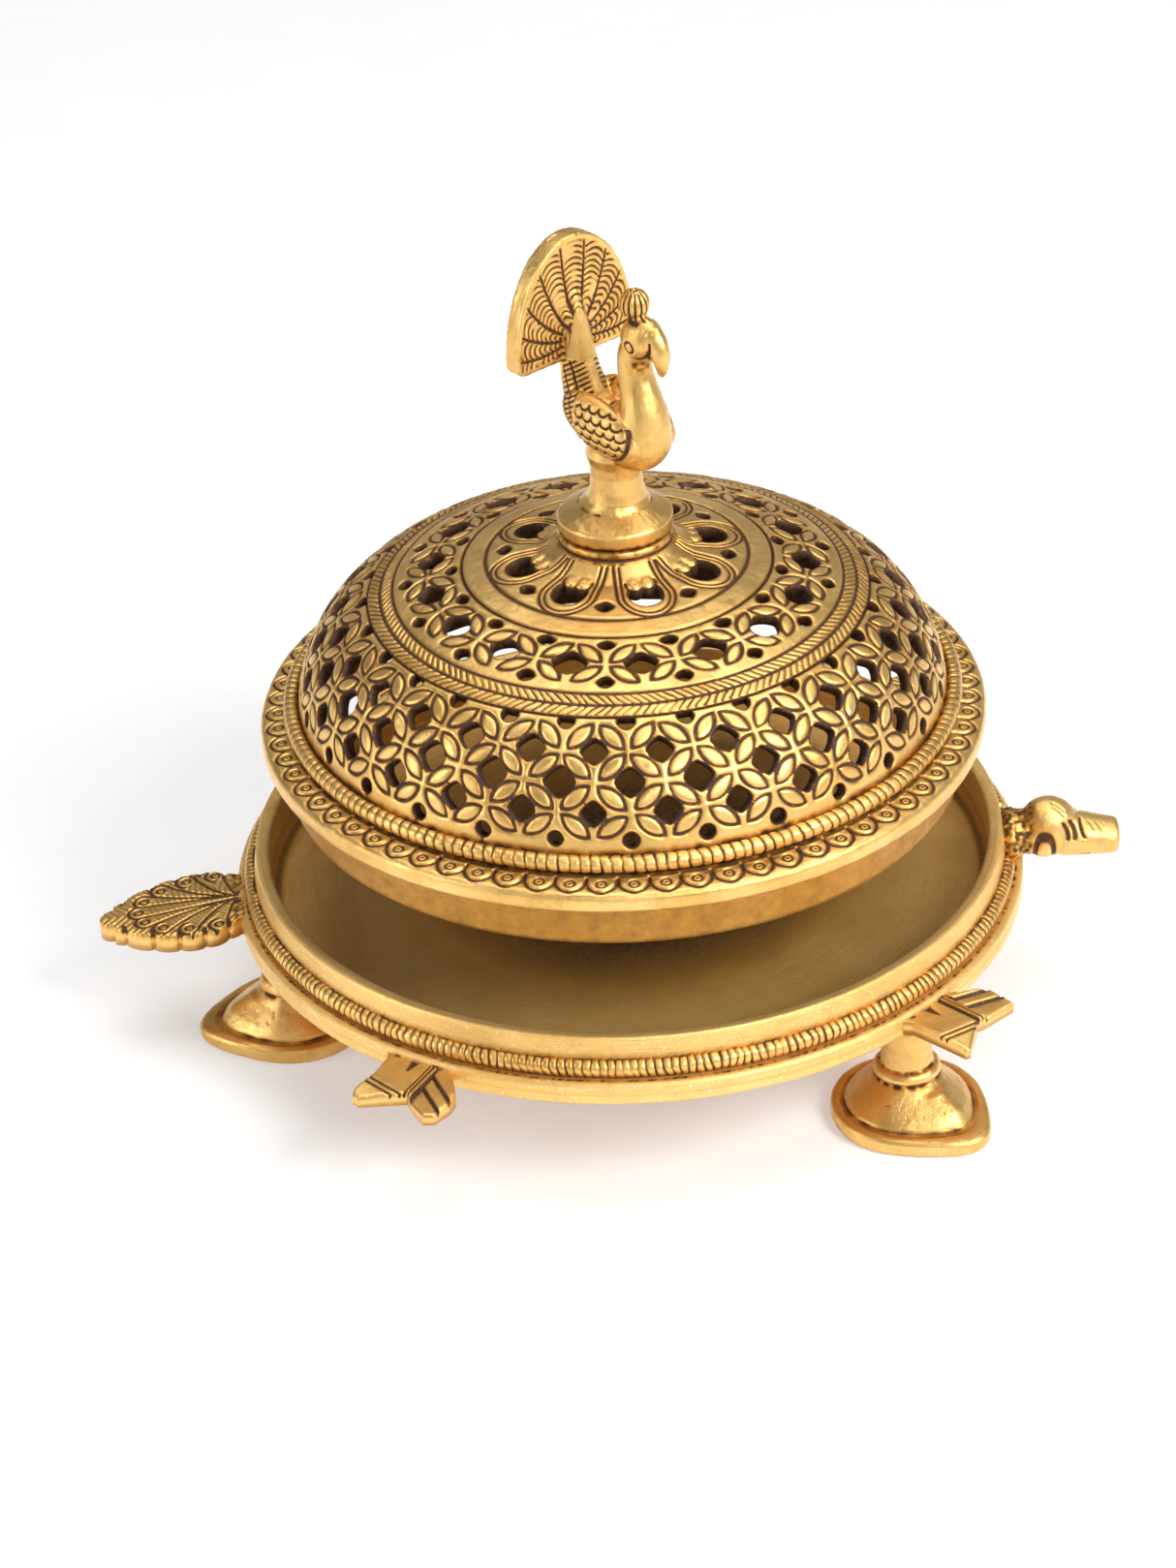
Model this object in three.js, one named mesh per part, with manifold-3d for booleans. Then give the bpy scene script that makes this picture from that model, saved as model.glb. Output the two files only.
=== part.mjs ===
// Table incense burner in cast brass: a round tortoise dish on three shoe-shaped feet, and a loose pierced dome
// lid lifted by a peacock finial. Millimetres, +Z up. The origin is on the table, midway along the overall
// length and breadth, and +X runs to the tortoise's head. The lid is shown raised above the dish.
import * as THREE from "three";
import { mergeVertices } from "three/addons/utils/BufferGeometryUtils.js";
import Module from "manifold-3d";

const wasm = await Module();
wasm.setup();

// ---- driving dimensions -----------------------------------------------------------------------------------
const DISH_INNER_R = 75;
const FLOOR_TOP_Z = 25.8;
const FLOOR_THICK = 2.2;
const RIM_TOP_Z = 36.5;
const FLANGE_OUTER_R = 82.2; // the tortoise's belly plate, to which the limbs are fixed
const FLANGE_TOP_Z = 28.3;
const LID_RAISE = 26.85; // how far the raised lid's skirt is above the dish floor
const LID_FLANGE_R = 74.25;
const LID_FLANGE_THICK = 4.2;
const SKIRT_R = 69.2;
const SKIRT_DEPTH = 10.05;
const SHELL_THICK = 2.6;
const FIT_GAP = 0.3; // clearance between pieces that only touch
const FACETS = 56; // flats round each large turned piece, two to each of the lid's wide hole pitches

// ---- where things sit -------------------------------------------------------------------------------------
const DISH_AXIS = [4.4, -2.8]; // everything round turns about this line, seen from above
const FLOOR_BOTTOM_Z = FLOOR_TOP_Z - FLOOR_THICK;
const SKIRT_BOTTOM_Z = FLOOR_TOP_Z + LID_RAISE;
const LID_Z = SKIRT_BOTTOM_Z + SKIRT_DEPTH; // underside of the lid's flange
const HEAD_AZIMUTH = -1.5;
const TAIL_AZIMUTH = -174.5;
const FLIPPERS = { front_right: -44.8, rear_right: -121.2, rear_left: 121.2, front_left: 44.8 }; // azimuths
const FEET = {
  front: { azimuth: -46.5, circleR: 77.5 },
  rear: { azimuth: -168.5, circleR: 73 },
  left: { azimuth: 73.5, circleR: 76 },
};
const PEACOCK_HEADING = -50;

// The dome's outside is two arcs: a flat crown cap, and a tighter shoulder that turns down to the flange.
const CROWN_ARC_R = 131.7;
const CROWN_CENTRE_Z = -91.35;
const SHOULDER_ARC_R = 27.6;
const SHOULDER_CENTRE_R = 38.8;
const SHOULDER_CENTRE_Z = 5.25;
const SHOULDER_START = Math.atan2(SHOULDER_CENTRE_R, SHOULDER_CENTRE_Z - CROWN_CENTRE_Z);

const rad = THREE.MathUtils.degToRad;

// ---- materials --------------------------------------------------------------------------------------------
const castBrass = () => new THREE.MeshStandardMaterial({ color: 0xb98d3e, roughness: 0.42, metalness: 1 });
const turnedBrass = () => new THREE.MeshStandardMaterial({ color: 0xc9a25a, roughness: 0.34, metalness: 1 });
const steel = () => new THREE.MeshStandardMaterial({ color: 0x8f8a80, roughness: 0.45, metalness: 1 });

// ---- solids -----------------------------------------------------------------------------------------------
function solid(geometry) {
  const bare = geometry.index ? geometry.toNonIndexed() : geometry.clone();
  bare.deleteAttribute("normal");
  bare.deleteAttribute("uv");
  const merged = mergeVertices(bare, 1e-4);
  const vertProperties = new Float32Array(merged.attributes.position.array);
  const triVerts = new Uint32Array(merged.index.array);
  return new wasm.Manifold(new wasm.Mesh({ numProp: 3, vertProperties, triVerts }));
}

function geometryOf(manifold) {
  const { numProp, vertProperties, triVerts } = manifold.getMesh();
  const geometry = new THREE.BufferGeometry();
  const points = new Float32Array((vertProperties.length / numProp) * 3);
  for (let i = 0; i < points.length / 3; i++) {
    points.set(vertProperties.subarray(i * numProp, i * numProp + 3), i * 3);
  }
  geometry.setAttribute("position", new THREE.BufferAttribute(points, 3));
  geometry.setIndex(new THREE.BufferAttribute(new Uint32Array(triVerts), 1));
  geometry.computeVertexNormals();
  return geometry;
}

function joined(...geometries) {
  return geometries.map(solid).reduce((whole, piece) => whole.add(piece));
}

function piece(name, shape, material) {
  const geometry = shape.isBufferGeometry ? shape : geometryOf(shape);
  const mesh = new THREE.Mesh(geometry, material);
  mesh.name = name;
  return mesh;
}

// A turned solid about Z from [radius, height] points that run up the outside.
function turned(profile, segments) {
  const points = profile.map(([r, z]) => new THREE.Vector2(r, z));
  return new THREE.LatheGeometry(points, segments).rotateX(Math.PI / 2);
}

// A flat plate from an outline in XY, standing on z = 0.
function plate(outline, thickness) {
  const shape = new THREE.Shape(outline.map(([x, y]) => new THREE.Vector2(x, y)));
  return new THREE.ExtrudeGeometry(shape, { depth: thickness, bevelEnabled: false });
}

function ellipsoid(radii, centre, tilt = 0) {
  const ball = new THREE.SphereGeometry(1, 12, 8);
  return ball.scale(...radii).rotateY(tilt).translate(...centre);
}

function rod(radius, bottomZ, topZ, sides = 16) {
  const cylinder = new THREE.CylinderGeometry(radius, radius, topZ - bottomZ, sides);
  return cylinder.rotateX(Math.PI / 2).translate(0, 0, (bottomZ + topZ) / 2);
}

function turnTo(mesh, azimuth, radius = 0) {
  mesh.rotation.z = rad(azimuth);
  mesh.position.set(radius * Math.cos(rad(azimuth)), radius * Math.sin(rad(azimuth)), 0);
  return mesh;
}

// ---- dish -------------------------------------------------------------------------------------------------
const STUD_R = 1.5;
const STUD_BOTTOM_Z = 15;
const STUD_TOP_Z = 25.2;
const WALL_FOOT_R = 78.4;
const ROPE_R = 1.8;

function dish() {
  const body = turned(
    [
      [0, FLOOR_BOTTOM_Z],
      [FLANGE_OUTER_R - 0.6, FLOOR_BOTTOM_Z],
      [FLANGE_OUTER_R, FLOOR_BOTTOM_Z + 0.6],
      [FLANGE_OUTER_R, FLANGE_TOP_Z - 0.6],
      [FLANGE_OUTER_R - 0.6, FLANGE_TOP_Z],
      [WALL_FOOT_R, FLANGE_TOP_Z],
      [WALL_FOOT_R, FLANGE_TOP_Z + 2 * ROPE_R],
      [WALL_FOOT_R - 0.8, RIM_TOP_Z],
      [DISH_INNER_R, RIM_TOP_Z - 0.8],
      [DISH_INNER_R, FLOOR_TOP_Z + 1.6],
      [DISH_INNER_R - 0.6, FLOOR_TOP_Z + 0.4],
      [DISH_INNER_R - 2, FLOOR_TOP_Z],
      [0, FLOOR_TOP_Z],
    ],
    FACETS,
  );
  let metal = solid(body);
  for (const { azimuth, circleR } of Object.values(FEET)) {
    const socket = rod(STUD_R + FIT_GAP, FLOOR_BOTTOM_Z - 1, STUD_TOP_Z + FIT_GAP, 10);
    socket.translate(circleR, 0, 0).rotateZ(rad(azimuth));
    metal = metal.subtract(solid(socket));
  }
  return piece("dish", metal, turnedBrass());
}

// A half-round ring whose flat side faces the wall it lies against.
function halfRoundRing(flatR, centreZ, radius, lean) {
  const profile = [];
  const steps = 4;
  for (let i = 0; i <= steps; i++) {
    const angle = -Math.PI / 2 + (Math.PI * i) / steps + lean;
    profile.push([flatR + radius * Math.cos(angle), centreZ + radius * Math.sin(angle)]);
  }
  profile.push(profile[0]);
  return turned(profile, FACETS);
}

function dishRopeRing() {
  const flatR = WALL_FOOT_R + FIT_GAP / 2;
  const centreZ = FLANGE_TOP_Z + ROPE_R + FIT_GAP / 2;
  const ring = solid(halfRoundRing(flatR, centreZ, ROPE_R, 0));
  const neckGap = new THREE.BoxGeometry(12, 18, 12).translate(flatR, 0, centreZ).rotateZ(rad(HEAD_AZIMUTH));
  return piece("dish_rope_ring", ring.subtract(solid(neckGap)), castBrass());
}

// ---- tortoise ---------------------------------------------------------------------------------------------
const LIMB_ROOT_R = FLANGE_OUTER_R + FIT_GAP / 2;
const FLIPPER_THICK = 3.5;
const TAIL_THICK = 4.2;

// Side outline of neck, skull and snout, measured out from the flange's edge, extruded across the head.
function tortoiseHead() {
  const halfWidth = 5.6;
  const rounding = 2.2;
  const undersideZ = FLOOR_BOTTOM_Z + 2.4;
  const side = new THREE.Shape();
  side.moveTo(rounding, rounding);
  side.lineTo(21 - rounding, rounding);
  side.lineTo(21 - rounding, 5.6 - rounding);
  side.quadraticCurveTo(20 - rounding, 7.6 - rounding, 14.6, 7.8 - rounding);
  side.quadraticCurveTo(10.5, 12 - rounding, 7, 12.4 - rounding);
  side.quadraticCurveTo(4.4, 12.2 - rounding, 3.6, 9 - rounding);
  side.lineTo(rounding, 8 - rounding);
  const head = new THREE.ExtrudeGeometry(side, {
    depth: 2 * (halfWidth - rounding),
    bevelThickness: rounding,
    bevelSize: rounding,
    bevelSegments: 3,
    curveSegments: 5,
  });
  head.translate(0, 0, -(halfWidth - rounding)).rotateX(Math.PI / 2).translate(0, 0, undersideZ);
  return turnTo(piece("tortoise_head", head, castBrass()), HEAD_AZIMUTH, LIMB_ROOT_R);
}

// Leaf-shaped tail with four rounded lobes down each side, from the flange out to a blunt tip.
function tortoiseTail() {
  const lobes = 4;
  const length = 28.5;
  const droop = 6;
  const side = [];
  for (let i = 0; i <= lobes; i++) {
    const along = i / (lobes + 0.6);
    const halfWidth = 7.4 + 4 * Math.sin(Math.PI * (0.1 + 0.95 * along)) - 4.6 * along ** 3;
    side.push([along * length, halfWidth]);
    side.push([(along + 0.16) * length, halfWidth + 0.2]);
  }
  side.push([length - 2, 4.6]);
  side.push([length, 1.8]);
  const mirrored = side.map(([x, y]) => [x, -y]);
  const outline = [...mirrored, ...side.reverse()];
  const leaf = plate(outline, TAIL_THICK).rotateY(rad(droop));
  leaf.translate(0.3, 0, FLANGE_TOP_Z - TAIL_THICK);
  return turnTo(piece("tortoise_tail", leaf, castBrass()), TAIL_AZIMUTH, LIMB_ROOT_R);
}

// Outlines of the right-hand flippers, x outward from the root and y towards the head: web, thumb, fork, a bunch
// of fingers, and back along the round flange.
const FRONT_FLIPPER = [
  [-0.4, -8.4],
  [1.4, -7.6],
  [14.4, -7.3],
  [14.9, -6.4],
  [10.5, 1.3],
  [10.9, 3],
  [11.6, 11.4],
  [8.7, 11.8],
  [5.6, 11.4],
  [3.4, 9.4],
  [1.6, 6.2],
  [-0.15, 5.5],
  [0, -1],
];
const REAR_FLIPPER = [
  [-0.4, -8.4],
  [1.4, -7.8],
  [6.8, -7.4],
  [12.4, -8.4],
  [14.8, -6.6],
  [9.9, 2],
  [12.2, 4.8],
  [14.2, 8.2],
  [13.2, 10.2],
  [9, 11.2],
  [6, 10.8],
  [3.6, 9],
  [1.4, 6.6],
  [-0.15, 6.1],
  [0, -1],
];

// One flipper: a webbed plate that forks. The left-hand ones are mirror images.
function flipper(side) {
  const right = side.startsWith("front") ? FRONT_FLIPPER : REAR_FLIPPER;
  const outline = side.endsWith("right") ? right : right.map(([x, y]) => [x, -y]).reverse();
  const webbed = plate(outline, FLIPPER_THICK).translate(0.15, 0, FLANGE_TOP_Z - FLIPPER_THICK - 0.2);
  return turnTo(piece(`flipper_${side}`, webbed, castBrass()), FLIPPERS[side], LIMB_ROOT_R);
}

// ---- feet -------------------------------------------------------------------------------------------------
// A turned foot whose pad is drawn out to a pointed toe on the side away from the dish.
function foot(side) {
  const { azimuth, circleR } = FEET[side];
  const toeStretch = 0.3;
  const toeFocus = 5;
  const stemR = 5.1;
  const shoe = turned(
    [
      [0, 0],
      [14.9, 0],
      [15.5, 0.6],
      [15.5, 3],
      [14.8, 3.7],
      [12.8, 3.9],
      [11.4, 6],
      [9, 8],
      [6.2, 9.4],
      [5.9, 10.2],
      [6.6, 12.2],
      [5.6, 14.6],
      [stemR - 0.2, 17],
      [stemR, FLOOR_BOTTOM_Z - FIT_GAP],
      [0, FLOOR_BOTTOM_Z - FIT_GAP],
    ],
    22,
  );
  const at = shoe.getAttribute("position");
  for (let i = 0; i < at.count; i++) {
    const x = at.getX(i);
    const y = at.getY(i);
    const reach = Math.max(0, Math.hypot(x, y) - stemR - 1.5);
    const outward = Math.max(0, Math.cos(Math.atan2(y, x))) ** toeFocus;
    at.setX(i, x * (1 + (toeStretch * outward * reach) / 9));
  }
  const socket = rod(STUD_R + FIT_GAP, STUD_BOTTOM_Z - FIT_GAP, FLOOR_BOTTOM_Z + 1, 10);
  const metal = solid(shoe).subtract(solid(socket));
  return turnTo(piece(`foot_${side}`, metal, castBrass()), azimuth, circleR);
}

function footStud(side) {
  const { azimuth, circleR } = FEET[side];
  const stud = piece(`foot_stud_${side}`, rod(STUD_R, STUD_BOTTOM_Z, STUD_TOP_Z, 10), steel());
  return turnTo(stud, azimuth, circleR);
}

// ---- lid --------------------------------------------------------------------------------------------------
// Lid heights are above the underside of its flange.
const BORE_R = 3.1;
const BOSS_R = 16;
const COLLAR_R = 11.3;
const COLLAR_BOTTOM_Z = 42.4;
const COLLAR_TOP_Z = 44.3;

const crownZ = (r, inset) => CROWN_CENTRE_Z + Math.sqrt((CROWN_ARC_R - inset) ** 2 - r * r);

// The rows of holes round the shoulder are one step of slope apart, and the facets change between rows.
const ROW_STEP = rad(12.6);
const FIRST_ROW_SLOPE = rad(41.2);

// Points down the dome's shoulder, from where it leaves the crown to where it stands upright.
function shoulder(inset) {
  const slopes = [SHOULDER_START];
  for (let row = 0; row < 4; row++) slopes.push(FIRST_ROW_SLOPE + (row - 0.5) * ROW_STEP);
  slopes.push(Math.PI / 2);
  const radius = SHOULDER_ARC_R - inset;
  return slopes.map((slope) => [
    SHOULDER_CENTRE_R + radius * Math.sin(slope),
    SHOULDER_CENTRE_Z + radius * Math.cos(slope),
  ]);
}

const rowR = (row) => SHOULDER_CENTRE_R + SHOULDER_ARC_R * Math.sin(FIRST_ROW_SLOPE + row * ROW_STEP);

// A pin that cuts through the shell at a point of the dome, square to its surface. Its cross-section has the
// given half-width round the dome and half-height up it.
function hole(r, azimuth, halfWidth, halfHeight, sides) {
  const onShoulder = r > CROWN_ARC_R * Math.sin(SHOULDER_START);
  const slope = onShoulder
    ? Math.asin((r - SHOULDER_CENTRE_R) / SHOULDER_ARC_R)
    : Math.asin(r / CROWN_ARC_R);
  const z = onShoulder ? SHOULDER_CENTRE_Z + SHOULDER_ARC_R * Math.cos(slope) : crownZ(r, 0);
  const length = 4 * SHELL_THICK;
  const pin = new THREE.CylinderGeometry(1, 1, length, sides);
  pin.scale(halfHeight, 1, halfWidth).rotateX(Math.PI / 2);
  pin.rotateY(slope).translate(r, 0, z).rotateZ(rad(azimuth));
  return solid(pin);
}

// Rings of holes: how many round the dome, their radius from the axis, the cross-section and the turn of the
// first one as a part of the pitch.
const HOLE_RINGS = [
  { count: 28, r: rowR(2), halfWidth: 2.6, halfHeight: 2.6, sides: 4, shift: 0.5 },
  { count: 28, r: rowR(1), halfWidth: 2.9, halfHeight: 2.9, sides: 4, shift: 0 },
  { count: 28, r: rowR(0), halfWidth: 2.8, halfHeight: 2.8, sides: 4, shift: 0.5 },
  { count: 17, r: 38.25, halfWidth: 3.5, halfHeight: 3.5, sides: 4, shift: 0 },
  { count: 8, r: 20.4, halfWidth: 3, halfHeight: 3.8, sides: 6, shift: 0.5 },
];

function lidDome() {
  const innerSkirtR = SKIRT_R - 3;
  const inner = shoulder(SHELL_THICK);
  const outer = shoulder(0).reverse();
  const profile = [
    [innerSkirtR, -SKIRT_DEPTH],
    [SKIRT_R, -SKIRT_DEPTH],
    [SKIRT_R, 0],
    [LID_FLANGE_R - 0.7, 0],
    [LID_FLANGE_R, 0.8],
    [LID_FLANGE_R, LID_FLANGE_THICK - 0.8],
    [LID_FLANGE_R - 0.8, LID_FLANGE_THICK],
    [SKIRT_R + 0.6, 5],
    ...outer,
    [32, crownZ(32, 0)],
    [BOSS_R, crownZ(BOSS_R, 0)],
    [COLLAR_R, COLLAR_BOTTOM_Z],
    [COLLAR_R, COLLAR_TOP_Z],
    [BORE_R, COLLAR_TOP_Z],
    [BORE_R, crownZ(BORE_R, SHELL_THICK)],
    [20, crownZ(20, SHELL_THICK)],
    [34, crownZ(34, SHELL_THICK)],
    ...inner,
    [innerSkirtR, 1],
    [innerSkirtR, -SKIRT_DEPTH],
  ];
  const halfFacet = Math.PI / FACETS;
  let metal = solid(turned(profile, FACETS).rotateZ(halfFacet));
  for (const { count, r, halfWidth, halfHeight, sides, shift } of HOLE_RINGS) {
    for (let i = 0; i < count; i++) {
      const azimuth = -90 + (360 * (i + shift)) / count;
      metal = metal.subtract(hole(r, azimuth, halfWidth, halfHeight, sides));
    }
  }
  return piece("lid_dome", metal, castBrass());
}

function lidRopeRing() {
  const lean = rad(38);
  const ring = halfRoundRing(68.2, 8.2, 1.6, lean);
  return piece("lid_rope_ring", ring, castBrass());
}

// ---- finial -----------------------------------------------------------------------------------------------
const FINIAL_STUD_R = 2.5;
const FINIAL_BOTTOM_Z = COLLAR_TOP_Z + FIT_GAP;
const FINIAL_STUD_TOP_Z = FINIAL_BOTTOM_Z + 9;
const WASHER_THICK = 1.2;
const NUT_THICK = 4;
const WASHER_TOP_Z = crownZ(6, SHELL_THICK) - FIT_GAP;

function tube(path, radius, steps) {
  const ring = new THREE.Shape().absarc(0, 0, radius, 0, 2 * Math.PI);
  const curve = new THREE.CatmullRomCurve3(path.map(([x, z]) => new THREE.Vector3(x, 0, z)));
  return new THREE.ExtrudeGeometry(ring, { steps, extrudePath: curve, curveSegments: 5, bevelEnabled: false });
}

// The bird faces +X of its own frame, on a round stem above a coned disc. Heights are above the disc's face.
function peacock() {
  const base = turned(
    [
      [0, 0],
      [11.05, 0],
      [11.05, 3.4],
      [6.2, 5.4],
      [5.2, 9],
      [5.4, 17],
      [0, 17],
    ],
    24,
  );
  const fanStart = rad(-32);
  const fanShape = new THREE.Shape().absellipse(0, 11, 15.6, 15.2, fanStart, Math.PI - fanStart);
  const fan = new THREE.ExtrudeGeometry(fanShape, { depth: 3.4, bevelEnabled: false, curveSegments: 14 });
  fan.rotateX(Math.PI / 2).rotateZ(Math.PI / 2).translate(-12.4, 0, 31);
  const body = ellipsoid([11, 7.4, 7.4], [4, 0, 22.8], rad(-12));
  const rightWing = ellipsoid([7.6, 2.4, 5.8], [0, -6.2, 23.4], rad(24));
  const leftWing = ellipsoid([7.6, 2.4, 5.8], [0, 6.2, 23.4], rad(24));
  const neck = tube([[9, 23], [9, 30], [8.8, 37], [10.4, 43]], 3.9, 6);
  const tailNeck = tube([[-4, 22], [-8.5, 29], [-10.5, 36]], 3.6, 5);
  const head = ellipsoid([5.6, 3.9, 4.6], [11.4, 0, 44.6], rad(28));
  const beak = new THREE.ConeGeometry(2.3, 9, 8).rotateZ(rad(-148)).rotateX(Math.PI / 2);
  beak.translate(16.2, 0, 40.6);
  const crest = ellipsoid([3, 2.8, 3.1], [8.8, 0, 50.2]);
  const bird = joined(base, fan, body, rightWing, leftWing, neck, tailNeck, head, beak, crest);
  const socket = rod(FINIAL_STUD_R + FIT_GAP, -1, FINIAL_STUD_TOP_Z - FINIAL_BOTTOM_Z + FIT_GAP, 16);
  const mesh = piece("peacock_finial", bird.subtract(solid(socket)), castBrass());
  mesh.position.z = FINIAL_BOTTOM_Z;
  mesh.rotation.z = rad(PEACOCK_HEADING);
  return mesh;
}

function finialFastening() {
  const washerBottomZ = WASHER_TOP_Z - WASHER_THICK;
  const nutTopZ = washerBottomZ - FIT_GAP;
  const nutBottomZ = nutTopZ - NUT_THICK;
  const bore = solid(rod(FINIAL_STUD_R + FIT_GAP, nutBottomZ - 5, WASHER_TOP_Z + 5));
  const washer = solid(rod(6, washerBottomZ, WASHER_TOP_Z, 24)).subtract(bore);
  const nut = solid(rod(4.6, nutBottomZ, nutTopZ, 6)).subtract(bore);
  return [
    piece("finial_stud", rod(FINIAL_STUD_R, nutBottomZ - 1.5, FINIAL_STUD_TOP_Z), steel()),
    piece("finial_washer", washer, castBrass()),
    piece("finial_nut", nut, castBrass()),
  ];
}

// ---- assembly ---------------------------------------------------------------------------------------------
// Each piece is placed from the dish's axis.
const burner = new THREE.Group();
burner.position.set(...DISH_AXIS, 0);
burner.add(dish(), dishRopeRing(), tortoiseHead(), tortoiseTail());
for (const side of Object.keys(FLIPPERS)) burner.add(flipper(side));
for (const side of Object.keys(FEET)) burner.add(foot(side), footStud(side));

const lid = new THREE.Group();
lid.position.z = LID_Z;
lid.add(lidDome(), lidRopeRing(), peacock(), ...finialFastening());
burner.add(lid);

export default burner;
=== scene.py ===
import math

import bpy
import numpy as np
from mathutils import Euler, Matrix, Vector


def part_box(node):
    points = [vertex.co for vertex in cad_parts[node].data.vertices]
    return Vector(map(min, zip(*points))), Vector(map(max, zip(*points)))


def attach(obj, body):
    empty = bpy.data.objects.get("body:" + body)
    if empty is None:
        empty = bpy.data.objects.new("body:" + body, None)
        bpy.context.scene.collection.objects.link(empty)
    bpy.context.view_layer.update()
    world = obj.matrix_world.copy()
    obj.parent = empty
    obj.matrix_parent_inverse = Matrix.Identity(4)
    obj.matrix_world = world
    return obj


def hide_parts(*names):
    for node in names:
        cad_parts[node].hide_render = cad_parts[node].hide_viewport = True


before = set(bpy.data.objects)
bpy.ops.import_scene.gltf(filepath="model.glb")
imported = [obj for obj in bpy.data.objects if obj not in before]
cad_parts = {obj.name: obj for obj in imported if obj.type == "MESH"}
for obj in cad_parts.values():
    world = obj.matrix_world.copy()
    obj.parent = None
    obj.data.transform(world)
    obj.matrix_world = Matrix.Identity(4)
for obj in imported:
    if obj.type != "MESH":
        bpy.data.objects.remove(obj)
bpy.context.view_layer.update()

# Table incense burner in antique gold cast brass. Every shape is worked out in millimetres about the dish's
# axis, with z = 0 on the table, and placed in the frame at the end. Named azimuths are in degrees from +X,
# where the tortoise's head is; the arrays called azimuth are in radians. A surface has a relief: a height in
# millimetres, and dirt_and_shade from 0 (polished) to 1 (a recess filled with patina, or painted shade where
# the lid and the dish shade a surface).
MM = 0.001
TURN = 2 * math.pi


def node_box(node):
    """Lowest and highest corner of a CAD node in millimetres."""
    low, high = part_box(node)
    return np.array(low) / MM, np.array(high) / MM


DISH_LOW, DISH_HIGH = node_box("dish")
AXIS = np.array([(DISH_LOW[0] + DISH_HIGH[0]) / 2, (DISH_LOW[1] + DISH_HIGH[1]) / 2, 0])
FLANGE_R = (DISH_HIGH[0] - DISH_LOW[0]) / 2
RIM_Z = DISH_HIGH[2]
FLOOR_LOW_Z = DISH_LOW[2]
FLOOR_THICK, FLANGE_THICK = 2.2, 4.7
FLOOR_Z = FLOOR_LOW_Z + FLOOR_THICK
FLANGE_TOP_Z = FLOOR_LOW_Z + FLANGE_THICK
DISH_R = 75  # inside of the wall
WALL_FOOT_R = 78.4  # outside of the wall

SKIRT_DEPTH = 10.05
LID_Z = node_box("lid_dome")[0][2] + SKIRT_DEPTH  # underside of the lid's flange
SHELL = 2.6  # thickness of the dome
CROWN_R, CROWN_Z = 131.7, -91.35  # crown arc: radius, and height of its centre above LID_Z
SHOULDER_R, SHOULDER_MID, SHOULDER_Z = 27.6, 38.8, 5.25  # shoulder arc: radius, and (r, z) of its centre
SHOULDER_START = math.atan2(SHOULDER_MID, SHOULDER_Z - CROWN_Z)
SHOULDER_END = math.radians(84)
FINIAL_Z = node_box("peacock_finial")[0][2]  # foot of its disc
PEACOCK_HEADING = -50
HEAD_AZIMUTH = -1.5
TAIL_AZIMUTH = -174.5
NECK_GAP = (5.0, 352.0)  # the dish's rope ring runs between these azimuths, and leaves the neck free
FLIPPERS = {"front_right": -44.8, "rear_right": -121.2, "rear_left": 121.2, "front_left": 44.8}
FEET = {"front": (-46.5, 77.5), "rear": (-168.5, 73), "left": (73.5, 76)}  # azimuth, distance from the axis

rng = np.random.default_rng(11)
CELLS = 32  # the noise repeats after this many cells
LATTICE = rng.uniform(-1, 1, (CELLS, CELLS, CELLS))
HANDS = 64
JITTER = rng.uniform(-1, 1, (HANDS, 8, 4))  # a hand's unevenness, by item, row and quantity


# ---- fields ------------------------------------------------------------------------------------------------
def noise(points, cell):
    """Smooth noise from -1 to 1 at (..., 3) points, with cells of the given size."""
    q = points / cell
    base = np.floor(q).astype(int)
    f = q - base
    f = f * f * (3 - 2 * f)
    total = 0
    for corner in np.ndindex(2, 2, 2):
        i = (base + corner) % CELLS
        weight = np.prod(np.where(np.array(corner) == 1, f, 1 - f), axis=-1)
        total = total + weight * LATTICE[i[..., 0], i[..., 1], i[..., 2]]
    return total


def line(distance, width):
    """Profile of a chased line: 1 at its middle, falling to 0."""
    return np.exp(-((distance / width) ** 2))


def ramp(value, low, high):
    """0 below low, 1 above high, smooth between."""
    t = np.clip((value - low) / (high - low), 0, 1)
    return t * t * (3 - 2 * t)


def gauge(u, v, half_u, half_v, power=2.0):
    """About the distance to a rounded outline: a circle at power 2, nearing a diamond at power 1."""
    ratio = (np.abs(u / half_u) ** power + np.abs(v / half_v) ** power) ** (1 / power)
    return (ratio - 1) * np.minimum(half_u, half_v)


def off_step(value, step):
    """How far a value is past the nearest multiple of step, below 0 before it."""
    t = value / step
    return (t - np.round(t)) * step


def almond(along, across, half_length, half_width):
    """Distance to a pointed oval's outline."""
    arc = (half_length**2 + half_width**2) / (2 * half_width)
    return np.hypot(along, np.abs(across) + arc - half_width) - arc


def wobble(points):
    """Unevenness of hand-finished metal: slow waves and a fine casting skin."""
    return 0.08 * noise(points, 11) + 0.045 * noise(points + 40, 3.1) + 0.024 * noise(points + 90, 1.0)


# ---- mesh building -----------------------------------------------------------------------------------------
def placed(name, data):
    """A new object of the scene that shows the data."""
    obj = bpy.data.objects.new(name, data)
    bpy.context.scene.collection.objects.link(obj)
    return obj


def vectors(collection, quantity):
    """A quantity of each vertex as an (n, 3) array."""
    values = np.zeros(len(collection) * 3)
    collection.foreach_get(quantity, values)
    return values.reshape(-1, 3)


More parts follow.
